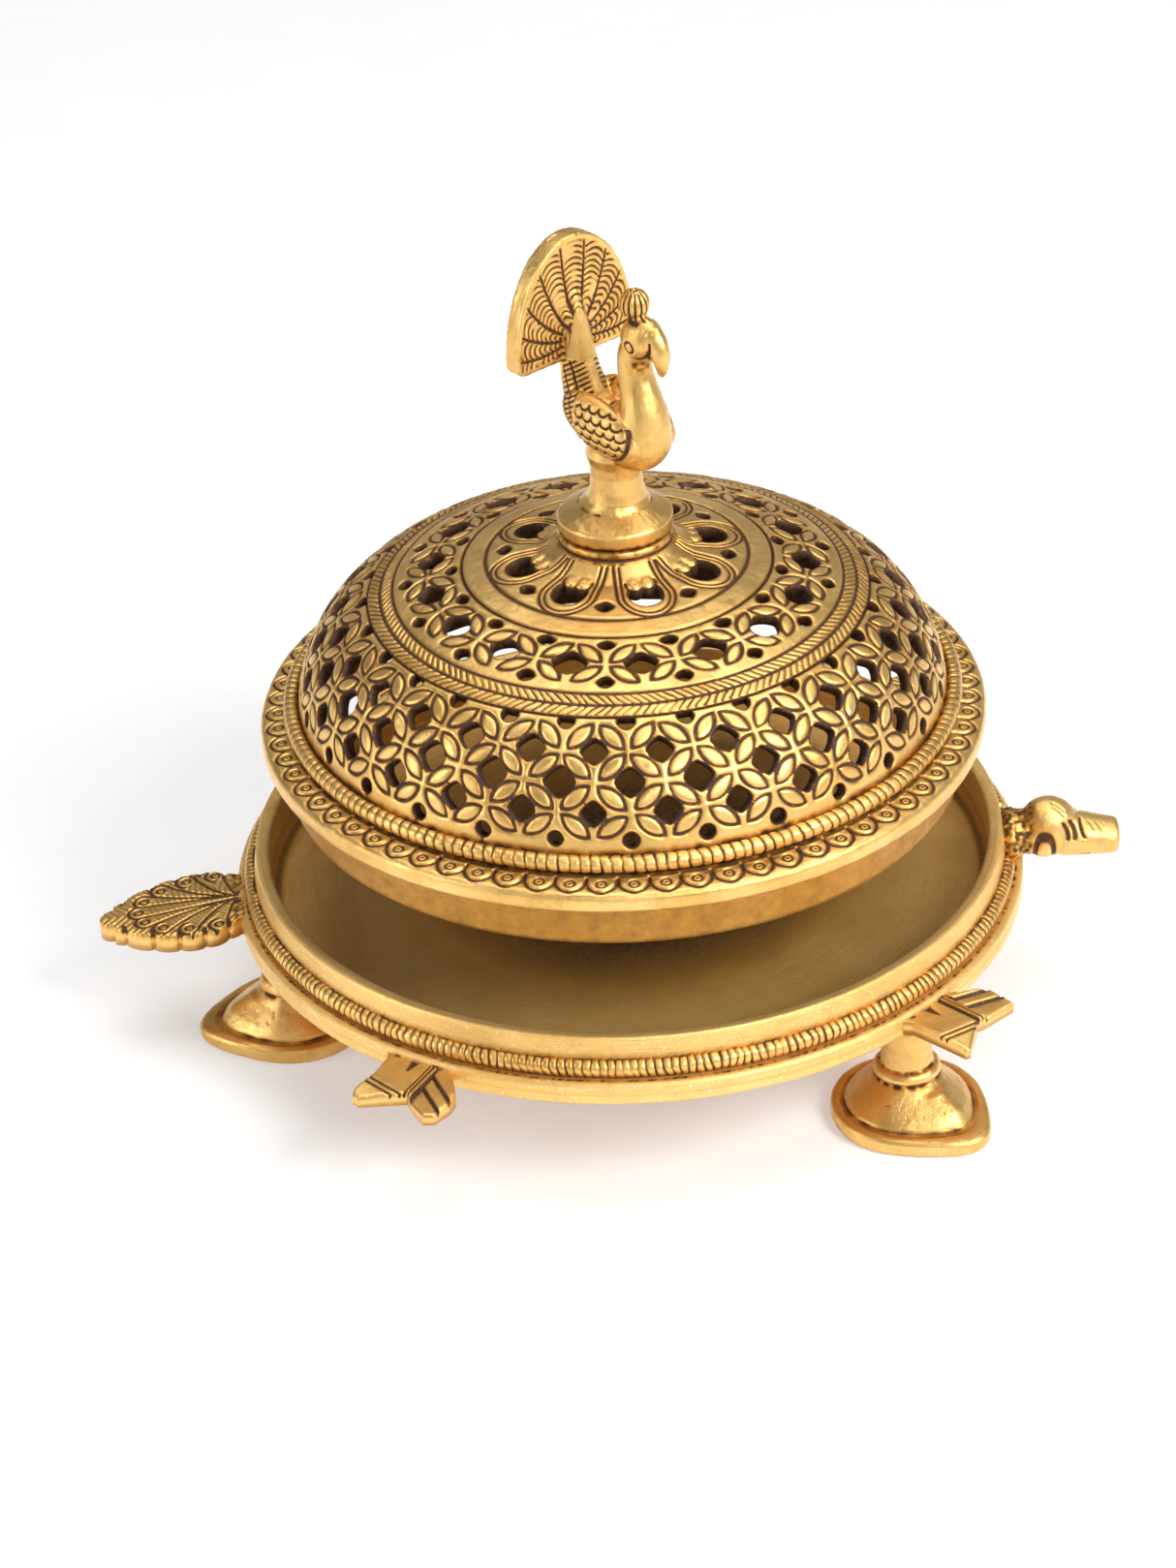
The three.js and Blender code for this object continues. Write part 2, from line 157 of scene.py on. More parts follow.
def make_object(name, points, faces):
    """A smooth-shaded mesh object from points and a list of (n, k) face arrays, turned to face out."""
    used, flat = np.unique(np.concatenate([f.ravel() for f in faces]), return_inverse=True)
    points = points[used]
    rows, start = [], 0
    for f in faces:
        rows += flat[start:start + f.size].reshape(f.shape).tolist()
        start += f.size
    mesh = bpy.data.meshes.new(name)
    mesh.from_pydata(points.tolist(), [], rows)
    mesh.update()
    tris = np.zeros(len(mesh.loop_triangles) * 3, np.int32)
    mesh.loop_triangles.foreach_get("vertices", tris)
    a, b, c = points[tris.reshape(-1, 3)].transpose(1, 0, 2)
    if np.einsum("ij,ij->i", a, np.cross(b, c)).sum() < 0:
        mesh.flip_normals()
    mesh.polygons.foreach_set("use_smooth", np.ones(len(mesh.polygons), bool))
    return placed(name, mesh), used


def add_piece(name, points, faces, dirt_and_shade, body, node, material=None):
    """Places a finished piece, in millimetres about the dish's axis, in the frame. It stands for a node."""
    obj, used = make_object(name, (points + AXIS) * MM, faces)
    attribute = obj.data.attributes.new("dirt_and_shade", "FLOAT", "POINT")
    attribute.data.foreach_set("value", np.clip(dirt_and_shade[used], 0, 1).astype(np.float32))
    obj.data.materials.append(material or CAST)
    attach(obj, body)
    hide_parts(node)


def grid_faces(rows, columns, wrap_rows, wrap_columns):
    """Quads over a grid of points numbered row by row."""
    i = np.arange(rows if wrap_rows else rows - 1)[:, None]
    j = np.arange(columns if wrap_columns else columns - 1)[None, :]
    below, right = (i + 1) % rows, (j + 1) % columns
    quads = np.stack(np.broadcast_arrays(
        i * columns + j, i * columns + right, below * columns + right, below * columns + j), -1)
    return quads.reshape(-1, 4)


def cap(centre, ring, flip=False):
    """Triangles between a middle point and a ring of points, all given by number."""
    after = np.roll(ring, -1)
    near, far = (ring, after) if flip else (after, ring)
    return np.stack([np.full_like(ring, centre), near, far], -1)


def sampled(corners, step):
    """Points along a polyline no further apart than step."""
    out = [np.array(corners[:1], float)]
    for a, b in zip(corners[:-1], corners[1:]):
        a, b = np.array(a, float), np.array(b, float)
        count = max(1, math.ceil(np.linalg.norm(b - a) / step))
        out.append(a + (b - a) * np.arange(1, count + 1)[:, None] / count)
    return np.concatenate(out)


def revolved(profile, columns, relief, closed=False):
    """Points, faces and dirt_and_shade of a turned piece. Its (r, z) profile runs up the outside, and either
    starts and ends on the axis or closes on itself. relief(azimuth, r, z, points) gives the height and the
    dirt_and_shade."""
    if closed:
        before, after = np.roll(profile, 1, 0), np.roll(profile, -1, 0)
    else:
        before = np.concatenate([profile[:1], profile[:-1]])
        after = np.concatenate([profile[1:], profile[-1:]])
    tangent = after - before
    normal = np.stack([tangent[:, 1], -tangent[:, 0]], -1)
    normal /= np.maximum(np.linalg.norm(normal, axis=1, keepdims=True), 1e-9)
    azimuth = np.arange(columns) * TURN / columns
    r = np.repeat(profile[:, :1], columns, 1)
    z = np.repeat(profile[:, 1:], columns, 1)
    a = np.repeat(azimuth[None], len(profile), 0)
    flat = np.stack([r * np.cos(a), r * np.sin(a), z], -1)
    height, dirt_and_shade = relief(a, r, z, flat)
    height = height * (r > 1e-6)
    r = r + height * normal[:, :1]
    z = z + height * normal[:, 1:]
    points = np.stack([r * np.cos(a), r * np.sin(a), z], -1).reshape(-1, 3)
    dirt_and_shade = (dirt_and_shade + 0 * r).ravel()
    if closed:
        return points, [grid_faces(len(profile), columns, True, True)], dirt_and_shade
    # The first and last rows are single points on the axis.
    body = grid_faces(len(profile) - 2, columns, False, True) + columns
    ring = np.arange(columns)
    top = (len(profile) - 2) * columns
    return points, [body, cap(0, columns + ring), cap(top + columns, top + ring, flip=True)], dirt_and_shade


def plain(azimuth, r, z, points):
    """The relief of a smooth, clean surface."""
    return 0 * r, 0 * r


def swept(centres, sides, ups, radii):
    """A solid tube through centres with cross-section axes sides and ups. radii is (n, k): the size of each
    cross-section at k angles. The ends close on their centres."""
    count, around = radii.shape
    angle = np.arange(around) * TURN / around
    out = np.cos(angle)[None, :, None] * sides[:, None] + np.sin(angle)[None, :, None] * ups[:, None]
    points = centres[:, None] + radii[..., None] * out
    points = np.concatenate([points.reshape(-1, 3), centres[:1], centres[-1:]])
    ring = np.arange(around)
    total = count * around
    start, end = cap(total, ring), cap(total + 1, total - around + ring, flip=True)
    return points, [grid_faces(count, around, False, True), start, end]


def limb(path, radii, flatten=1.0, steps=26):
    """A rounded tube in the XZ plane through the path's (x, z) points, flatten times as wide in y."""
    knots = np.linspace(0, 1, len(path))
    t = np.linspace(0, 1, steps)
    path = np.array(path, float)
    smooth = np.polyfit(knots, np.column_stack([path, radii]), min(3, len(path) - 1))
    x, z, radius = (np.stack([t**k for k in range(len(smooth) - 1, -1, -1)], -1) @ smooth).T
    radius = np.maximum(radius, 0.25) * np.sqrt(np.clip(1 - (2 * t - 1) ** 14, 0.02, 1))
    centres = np.stack([x, 0 * x, z], -1)
    tangent = np.gradient(centres, axis=0)
    tangent /= np.linalg.norm(tangent, axis=1, keepdims=True)
    sides = np.tile([0.0, flatten, 0.0], (steps, 1))
    ups = np.cross(tangent, [0.0, 1.0, 0.0])
    return swept(centres, sides, ups, np.repeat(radius[:, None], 24, 1))


def ellipsoid(centre, radii, tilt=0.0):
    """A ball stretched to radii and tilted about Y by degrees."""
    angle = np.linspace(-math.pi / 2, math.pi / 2, 25)
    profile = np.stack([np.cos(angle), np.sin(angle)], -1)
    profile[[0, -1], 0] = 0
    points, faces, _ = revolved(profile, 36, plain)
    turn = np.array(Euler((0, math.radians(tilt), 0)).to_matrix())
    return (points * radii) @ turn.T + centre, faces


def standing_plate(outline, x_low, x_high):
    """A flat plate that stands across X, with a closed outline of (y, z) points."""
    count = len(outline)
    flat = np.concatenate([outline, [outline.mean(0)]])
    layers = [np.concatenate([np.full((count + 1, 1), float(x)), flat], 1) for x in (x_low, x_high)]
    ring = np.arange(count)
    after = np.roll(ring, -1)
    upper = count + 1
    walls = np.stack([ring, after, after + upper, ring + upper], -1)
    return np.concatenate(layers), [walls, cap(count, ring), cap(upper + count, upper + ring, flip=True)]


def fused(shapes, voxel, smoothing):
    """One closed skin round overlapping shapes: its points, normals and faces."""
    points, faces, start = [], [], 0
    for shape_points, shape_faces in shapes:
        obj, _ = make_object("shape", shape_points, shape_faces)
        points.append(vectors(obj.data.vertices, "co"))
        faces += [[start + v for v in p.vertices] for p in obj.data.polygons]
        start += len(points[-1])
        bpy.data.objects.remove(obj)
    mesh = bpy.data.meshes.new("fused")
    mesh.from_pydata(np.concatenate(points).tolist(), [], faces)
    obj = placed("fused", mesh)
    remesh = obj.modifiers.new("skin", "REMESH")
    remesh.mode = "VOXEL"
    remesh.voxel_size = voxel
    smooth = obj.modifiers.new("soften", "SMOOTH")
    smooth.factor = 0.5
    smooth.iterations = smoothing
    graph = bpy.context.evaluated_depsgraph_get()
    skin = bpy.data.meshes.new_from_object(obj.evaluated_get(graph))
    bpy.data.objects.remove(obj)
    quads = np.zeros(len(skin.loops), np.int32)
    skin.loops.foreach_get("vertex_index", quads)
    return vectors(skin.vertices, "co"), vectors(skin.vertices, "normal"), [quads.reshape(-1, 4)]


def turned_to(points, azimuth, radius=0.0, lift=0.0):
    """Turns local points (x outward) to an azimuth and moves them out to a radius."""
    a = math.radians(azimuth)
    turn = np.array([[math.cos(a), -math.sin(a), 0], [math.sin(a), math.cos(a), 0], [0, 0, 1]])
    return points @ turn.T + [radius * math.cos(a), radius * math.sin(a), lift]


# ---- cut sheets --------------------------------------------------------------------------------------------
def snapped(field, u, v, edge, unit_u, step):
    """Moves the points on a cut's edge onto the line where the field is 0."""
    nudge = 0.02
    for _ in range(3):
        f = field(u, v)
        slope_u = (field(u + nudge / unit_u, v) - f) / nudge
        slope_v = (field(u, v + nudge) - f) / nudge
        share = edge * f / np.maximum(slope_u**2 + slope_v**2, 0.2)
        u = u - np.clip(share * slope_u, -0.5 * step, 0.5 * step) / unit_u
        v = v - np.clip(share * slope_v, -0.5 * step, 0.5 * step)
    return u, v


def coarse_quads(keep, index):
    """Faces over kept cells, two by two where a whole block is kept. A block keeps its edge's middle points
    where its neighbour isn't merged, so that the skin has no gap."""
    rows, columns = keep.shape
    blocks = keep.reshape(rows // 2, 2, columns // 2, 2).all((1, 3))
    single = keep & ~np.repeat(np.repeat(blocks, 2, 0), 2, 1)
    i, j = np.nonzero(single)
    faces = [np.stack([index[i, j], index[i, j + 1], index[i + 1, j + 1], index[i + 1, j]], -1)]
    ring = np.roll(blocks, 1, 1), np.roll(blocks, -1, 1)
    none = np.zeros((1, columns // 2), bool)
    above = np.concatenate([none, blocks[:-1]])
    below = np.concatenate([blocks[1:], none])
    middles = [~above, ~ring[1], ~below, ~ring[0]]
    for pattern in np.ndindex(2, 2, 2, 2):
        match = blocks.copy()
        for wanted, has in zip(pattern, middles):
            match &= has == bool(wanted)
        i, j = (2 * n for n in np.nonzero(match))
        loop = [(0, 0), pattern[0] and (0, 1), (0, 2), pattern[1] and (1, 2),
                (2, 2), pattern[2] and (2, 1), (2, 0), pattern[3] and (1, 0)]
        corners = [index[i + c[0], j + c[1]] for c in loop if c]
        if len(i):
            faces.append(np.stack(corners, -1))
    return faces


def cut_sheet(u, v, field, unit_u, place, relief, wraps, step, wall_dirt_and_shade=0.95, back_dirt_and_shade=0.9):
    """A thick sheet over the grid u by v, kept where field(u, v) is above 0. place(u, v, depth) gives points:
    depth is a height above the face, or None on the back. relief(u, v) gives the face's height and dirt."""
    grid_v, grid_u = np.meshgrid(v, u, indexing="ij")
    numbers = np.arange(grid_u.size).reshape(grid_u.shape)
    value = field(grid_u, grid_v)
    if wraps:
        numbers = np.concatenate([numbers, numbers[:, :1]], 1)
        value = np.concatenate([value, value[:, :1]], 1)
    keep = (value[:-1, :-1] + value[1:, :-1] + value[:-1, 1:] + value[1:, 1:]) > 0
    # Two kept cells that meet only at a corner would pinch the skin, so a cell beside them is kept too.
    left = np.roll(keep, 1, 1) if wraps else np.pad(keep, ((0, 0), (1, 0)))[:, :-1]
    pinch = keep[1:] & left[:-1] & ~keep[:-1] & ~left[1:]
    keep[:-1] |= pinch
    pinch = keep[:-1] & left[1:] & ~keep[1:] & ~left[:-1]
    keep[1:] |= pinch

    def edge_pairs(mask, start, end):
        i, j = np.nonzero(mask)
        return np.stack([numbers[i + start[0], j + start[1]], numbers[i + end[0], j + end[1]]], -1)

    padded = np.pad(keep, ((1, 1), (0, 0)))
    if wraps:
        sides = np.concatenate([keep[:, -1:], keep], 1)
    else:
        sides = np.pad(keep, ((0, 0), (1, 1)))
    edges = np.concatenate([
        edge_pairs(padded[1:] & ~padded[:-1], (0, 0), (0, 1)),
        edge_pairs(padded[:-1] & ~padded[1:], (0, 1), (0, 0)),
        edge_pairs(sides[:, 1:] & ~sides[:, :-1], (1, 0), (0, 0)),
        edge_pairs(sides[:, :-1] & ~sides[:, 1:], (0, 0), (1, 0)),
    ])

    on_edge = np.zeros(grid_u.size, bool)
    on_edge[edges] = True
    movable = on_edge.reshape(grid_u.shape).copy()
    if wraps:
        movable[[0, -1]] = False
    grid_u, grid_v = snapped(field, grid_u, grid_v, movable, unit_u(grid_v), step)
    height, dirt_and_shade = relief(grid_u, grid_v)
    front = place(grid_u, grid_v, height).reshape(-1, 3)
    back = place(grid_u, grid_v, None).reshape(-1, 3)

    total = len(front)
    i, j = np.nonzero(keep)
    face = np.stack([numbers[i, j], numbers[i, j + 1], numbers[i + 1, j + 1], numbers[i + 1, j]], -1)
    behind = coarse_quads(keep, numbers) if wraps else [face]
    behind = [f[:, ::-1] + total for f in behind]
    mid = np.full(total, -1)
    rim = np.unique(edges)
    mid[rim] = 2 * total + np.arange(len(rim))
    between = front[rim] * 0.62 + back[rim] * 0.38
    p, q = edges.T
    walls = [np.stack([q, p, mid[p], mid[q]], -1), np.stack([mid[q], mid[p], p + total, q + total], -1)]
    points = np.concatenate([front, back, between])
    # The back and the walls of the cuts each get one dark value: patina and painted shade, as on the dome's
    # inside seen through its holes.
    shade = np.concatenate([dirt_and_shade.ravel(), np.full(total, back_dirt_and_shade), np.full(len(rim), wall_dirt_and_shade)])
    return points, [face] + behind + walls, shade


# ---- the dome's surface ------------------------------------------------------------------------------------
def shoulder_point(slope, radius):
    """(r, z) on an arc about the shoulder's centre, where the surface slopes down by an angle in radians."""
    return SHOULDER_MID + radius * np.sin(slope), SHOULDER_Z + radius * np.cos(slope)


def dome_profile():
    """Outside and inside of the dome as (r, z) above LID_Z from the bore outwards, outward direction, and the
    arc length so far."""
    boss_r = 16.0
    steps = 160
    top = [(3.1, 44.3), (10.6, 44.3), (11.3, 44.1), (11.7, 43.5), (11.6, 42.8), (11.1, 42.4), (12.3, 41.6),
           (14.2, 40.2), (boss_r, CROWN_Z + math.sqrt(CROWN_R**2 - boss_r**2))]
    collar = sampled(top, 0.3)
    angle = np.linspace(math.asin(boss_r / CROWN_R), SHOULDER_START, steps)[1:]
    crown = np.stack([CROWN_R * np.sin(angle), CROWN_Z + CROWN_R * np.cos(angle)], -1)
    turn = np.linspace(SHOULDER_START, SHOULDER_END, steps)[1:]
    shoulder = np.stack(shoulder_point(turn, SHOULDER_R), -1)
    outside = np.concatenate([collar, crown, shoulder])
    tangent = np.gradient(outside, axis=0)
    normal = np.stack([-tangent[:, 1], tangent[:, 0]], -1)
    normal /= np.linalg.norm(normal, axis=1, keepdims=True)
    inside = outside - SHELL * normal
    under_r = collar[:, 0]
    inside[:len(collar)] = np.stack([under_r, CROWN_Z + np.sqrt((CROWN_R - SHELL) ** 2 - under_r**2)], -1)
    run = np.concatenate([[0], np.cumsum(np.linalg.norm(np.diff(outside, axis=0), axis=1))])
    return outside, inside, normal, run


OUTSIDE, INSIDE, DOME_NORMAL, DOME_RUN = dome_profile()
BOSS_ARC_FROM = np.argmax(OUTSIDE[:, 0] > 12)


def run_at(r):
    """Arc length down the dome where its outside reaches radius r."""
    return np.interp(r, OUTSIDE[BOSS_ARC_FROM:, 0], DOME_RUN[BOSS_ARC_FROM:])


def run_at_slope(degrees):
    """Arc length down the dome where the shoulder slopes by degrees."""
    return run_at(shoulder_point(math.radians(degrees), SHOULDER_R)[0])


def dome_r(s):
    """Radius of the dome's outside at arc length s."""
    return np.interp(s, DOME_RUN, OUTSIDE[:, 0])


def on_dome(azimuth, s, height):
    """Points of the dome: on its inside if height is None, else that far above its outside."""
    table = INSIDE if height is None else OUTSIDE
    r = np.interp(s, DOME_RUN, table[:, 0])
    z = np.interp(s, DOME_RUN, table[:, 1])
    if height is not None:
        r = r + height * np.interp(s, DOME_RUN, DOME_NORMAL[:, 0])
        z = z + height * np.interp(s, DOME_RUN, DOME_NORMAL[:, 1])
    return np.stack([r * np.cos(azimuth), r * np.sin(azimuth), z + LID_Z], -1)


def ring_hole(azimuth, s, count, first, at, half_u, half_v, power, row):
    """Field of a ring of holes: above 0 outside them."""
    pitch = TURN / count
    t = (azimuth - math.radians(first)) / pitch
    index = np.round(t).astype(int)
    hand = JITTER[index % count, row]
    u = (t - index) * pitch * dome_r(s) + 0.16 * hand[..., 0]
    v = s - at + 0.16 * hand[..., 1]
    size = 1 + 0.05 * hand[..., 2]
    return gauge(u / size, v / size, half_u, half_v, power)


def ring_leaf(azimuth, s, count, first, at, rise, parity, half_length, half_width, row):
    """Distance to the outlines of a ring of leaves, two to a pitch, that lean to either side by turns."""
    half_pitch = math.pi / count
    t = (azimuth - math.radians(first)) / half_pitch
    index = np.floor(t).astype(int)
    hand = JITTER[index % (2 * count) % HANDS, row]
    u = (t - index - 0.5) * half_pitch * dome_r(s) + 0.14 * hand[..., 0]
    v = s - at + 0.14 * hand[..., 1]
    lean = math.atan2(rise, half_pitch * dome_r(at)) + 0.06 * hand[..., 2]
    lean = np.where((index + parity) % 2 == 0, lean, -lean)
    along = u * np.cos(lean) + v * np.sin(lean)
    across = v * np.cos(lean) - u * np.sin(lean)
    return almond(along, across, half_length, half_width)


def leaf_relief(distance, hole, points):
    """Height and dirt round leaf outlines and holes: chased outline, pillowed leaf, worn hole edge."""
    strength = 1.0 + 0.4 * noise(points, 2.4)
    cut = line(distance, 0.37) * strength
    pillow = 0.03 * ramp(-distance, 0.3, 1.1)
    worn = 1 - ramp(hole, 0.0, 0.5)
    height = pillow - 0.42 * cut - 0.25 * worn + wobble(points)
    return height, np.maximum(cut, 0.62 * worn)


def dome_piece(name, s_from, s_to, hole_field, relief, columns, step):
    """A pierced ring of the dome between two arc lengths."""
    rows = 2 * math.ceil((s_to - s_from) / step / 2)
    s = np.linspace(s_from, s_to, rows + 1)
    azimuth = np.arange(columns) * TURN / columns
    points, faces, dirt_and_shade = cut_sheet(azimuth, s, hole_field, dome_r, on_dome, relief, True, step)
    add_piece(name, points, faces, dirt_and_shade, "lid", "lid_dome")


# ---- lid ---------------------------------------------------------------------------------------------------
# Rows of holes round the shoulder from the top: slope of the surface, half size and power of the outline.
SHOULDER_ROWS = [(28.0, 1.75, 1.8), (41.2, 2.85, 1.35), (53.8, 3.1, 1.35), (66.4, 2.75, 1.35),
                 (77.4, 1.6, 1.9)]
SHOULDER_RUNS = [run_at_slope(slope) for slope, _, _ in SHOULDER_ROWS]
SHOULDER_COUNT = 28
FRONT = -90  # azimuth of the side that the photo shows
LEAF_LENGTH, LEAF_WIDTH = 3.4, 1.55  # half sizes of a leaf on the shoulder
BAND_R = (45.6, 48.2, 50.85)  # the herringbone band's three lines
PLAIN_R = (26.5, 31.4)  # the plain band between the rosette and the crown's flowers
ROSETTE_COUNT, ROSETTE_FIRST = 8, -75.2
ROSETTE_EYE_R, ROSETTE_SMALL_R = 19.6, 22.6  # the large holes, and the small ones between the petals
LOBE_SIDE, LOBE_R, LOBE_SIZE = 1.35, 16.1, 1.75  # the two lobes that reach down into each large hole
CONE_FOOT_R = 12.2  # where the collar stands on the rosette
CROWN_COUNT, CROWN_FIRST = 17, -105.7
CROWN_HOLES_R = (33.4, 38.25, 42.7)


def shoulder_holes(azimuth, s):
    """Rows of diamond holes, each row shifted by half a pitch."""
    pitch = 360 / SHOULDER_COUNT
    rows = []
    for row, (at, (_, half, power)) in enumerate(zip(SHOULDER_RUNS, SHOULDER_ROWS)):
        first = FRONT + (0.5 * pitch if row % 2 else 0)
        rows.append(ring_hole(azimuth, s, SHOULDER_COUNT, first, at, half, half, power, row))
    return np.minimum.reduce(rows)


def shoulder_relief(azimuth, s):
    """Leaves between the rows of holes, and dirt along the rope ring."""
    points = on_dome(azimuth, s, 0)
    outlines = []
    for gap, (upper, lower) in enumerate(zip(SHOULDER_RUNS, SHOULDER_RUNS[1:])):
        parity = 1 if gap % 2 == 0 else 0
        at = (upper + lower) / 2
        outlines.append(ring_leaf(azimuth, s, SHOULDER_COUNT, FRONT, at, lower - upper, parity,
                                  LEAF_LENGTH, LEAF_WIDTH, gap))
    distance = np.minimum.reduce(outlines)
    height, dirt_and_shade = leaf_relief(distance, shoulder_holes(azimuth, s), points)
    seam = line(s - run_at(BAND_R[2]), 0.35)
    rope_side = ramp(s, run_at_slope(79), run_at_slope(84)) * (0.45 + 0.5 * noise(points, 1.6))
    return height - 0.4 * seam, np.maximum.reduce([dirt_and_shade, seam, rope_side])


def crown_holes(azimuth, s):
    """A ring of large holes, with small ones between them on either side."""
    inner, main, outer = (run_at(r) for r in CROWN_HOLES_R)
    between = CROWN_FIRST + 180 / CROWN_COUNT
    return np.minimum.reduce([
        ring_hole(azimuth, s, CROWN_COUNT, CROWN_FIRST, main, 3.5, 2.9, 1.5, 0),
        ring_hole(azimuth, s, CROWN_COUNT, between, inner, 1.75, 1.25, 1.7, 1),
        ring_hole(azimuth, s, CROWN_COUNT, between, outer, 1.75, 1.45, 1.6, 2),
    ])


def herringbone(azimuth, s, points):
    """Slanted strokes either side of the band's middle line, and the band's three lines."""
    inner, middle, outer = (run_at(r) for r in BAND_R)
    stroke_count = 176
    pitch = TURN * BAND_R[1] / stroke_count
    along = azimuth * BAND_R[1] + 0.95 * np.abs(s - middle) + 0.4 * noise(points, 2.4)
    stroke = line(off_step(along, pitch), 0.28)
    inside = ramp(s, inner + 0.1, inner + 0.5) * (1 - ramp(s, outer - 0.5, outer - 0.1))
    rings = np.maximum.reduce([line(s - at, 0.33) for at in (inner, middle, outer)])
    return np.maximum(stroke * inside * (0.75 + 0.3 * noise(points, 4)), rings)


def crown_relief(azimuth, s):
    """Leaves round the large holes, and the herringbone band."""
    points = on_dome(azimuth, s, 0)
    main = run_at(CROWN_HOLES_R[1])
    between = CROWN_FIRST + 180 / CROWN_COUNT
    upper = ring_leaf(azimuth, s, CROWN_COUNT, between, main - 2.75, 5.4, 1, 3.3, 1.45, 4)
    lower = ring_leaf(azimuth, s, CROWN_COUNT, between, main + 2.75, 5.4, 0, 3.3, 1.45, 5)
    height, dirt_and_shade = leaf_relief(np.minimum(upper, lower), crown_holes(azimuth, s), points)
    band = herringbone(azimuth, s, points)
    edge = line(s - run_at(PLAIN_R[1]), 0.35)
    return height - 0.36 * band - 0.4 * edge, np.maximum.reduce([dirt_and_shade, band, edge])


def rosette_cell(azimuth, s):
    """Distance round the nearest petal's middle line, and radius."""
    pitch = TURN / ROSETTE_COUNT
    t = (azimuth - math.radians(ROSETTE_FIRST)) / pitch
    index = np.round(t).astype(int)
    r = dome_r(s)
    return (t - index) * pitch * r + 0.3 * JITTER[index % ROSETTE_COUNT, 6, 0], r


def outside_lobes(u, r):
    """Distance to the two lobes of a petal."""
    return np.hypot(np.abs(u) - LOBE_SIDE, r - LOBE_R) - LOBE_SIZE


def rosette_holes(azimuth, s):
    """A large hole in each petal, with two lobes left in its foot, and a small one between petals."""
    u, r = rosette_cell(azimuth, s)
    solid_r = 13.5  # nothing is pierced inside this radius
    r = np.where(s < run_at(solid_r), solid_r, r)
    eye = gauge(u, r - ROSETTE_EYE_R, 3.5, 3.4, 2.2)
    large = np.maximum(eye, -outside_lobes(u, r))
    between = ROSETTE_FIRST + 180 / ROSETTE_COUNT
    small = ring_hole(azimuth, s, ROSETTE_COUNT, between, run_at(ROSETTE_SMALL_R), 1.75, 1.4, 1.5, 7)
    return np.minimum(large, small)


def rosette_relief(azimuth, s):
    """Petals with a double outline, two lobes in each, and dirt under the collar."""
    points = on_dome(azimuth, s, 0)
    u, r = rosette_cell(azimuth, s)
    arch_r, arch = 20.4, 5.9
    side = np.abs(u) - (4.35 + 0.185 * (r - 12))
    outline = np.where(r > arch_r, np.hypot(u, r - arch_r) - arch, side)
    on_cone = s > run_at(CONE_FOOT_R)
    petals = np.maximum(line(outline, 0.32), 0.9 * line(outline + 1.15, 0.28)) * on_cone
    tongue = line(outside_lobes(u, r), 0.3) * on_cone * (r > 15.4)
    rings = np.maximum(line(s - run_at(PLAIN_R[0]), 0.4), line(s - run_at(PLAIN_R[1]), 0.35))
    worn = 1 - ramp(rosette_holes(azimuth, s), 0, 0.6)
    collar = ~on_cone * (0.26 + 0.35 * noise(points, 0.9))
    below_top = OUTSIDE[0, 1] - np.interp(s, DOME_RUN, OUTSIDE[:, 1])
    crevice = 0.9 * line(below_top - 1.9, 0.35) * (s > 8)  # under the collar, past its flat top
    cut = np.maximum.reduce([petals, tongue, rings])
    lobes = 0.35 * ramp(-outside_lobes(u, r), 0, 1.2) * on_cone
    height = wobble(points) - 0.45 * cut - 0.25 * worn + lobes
    return height, np.maximum.reduce([cut, 0.8 * worn, collar, crevice])


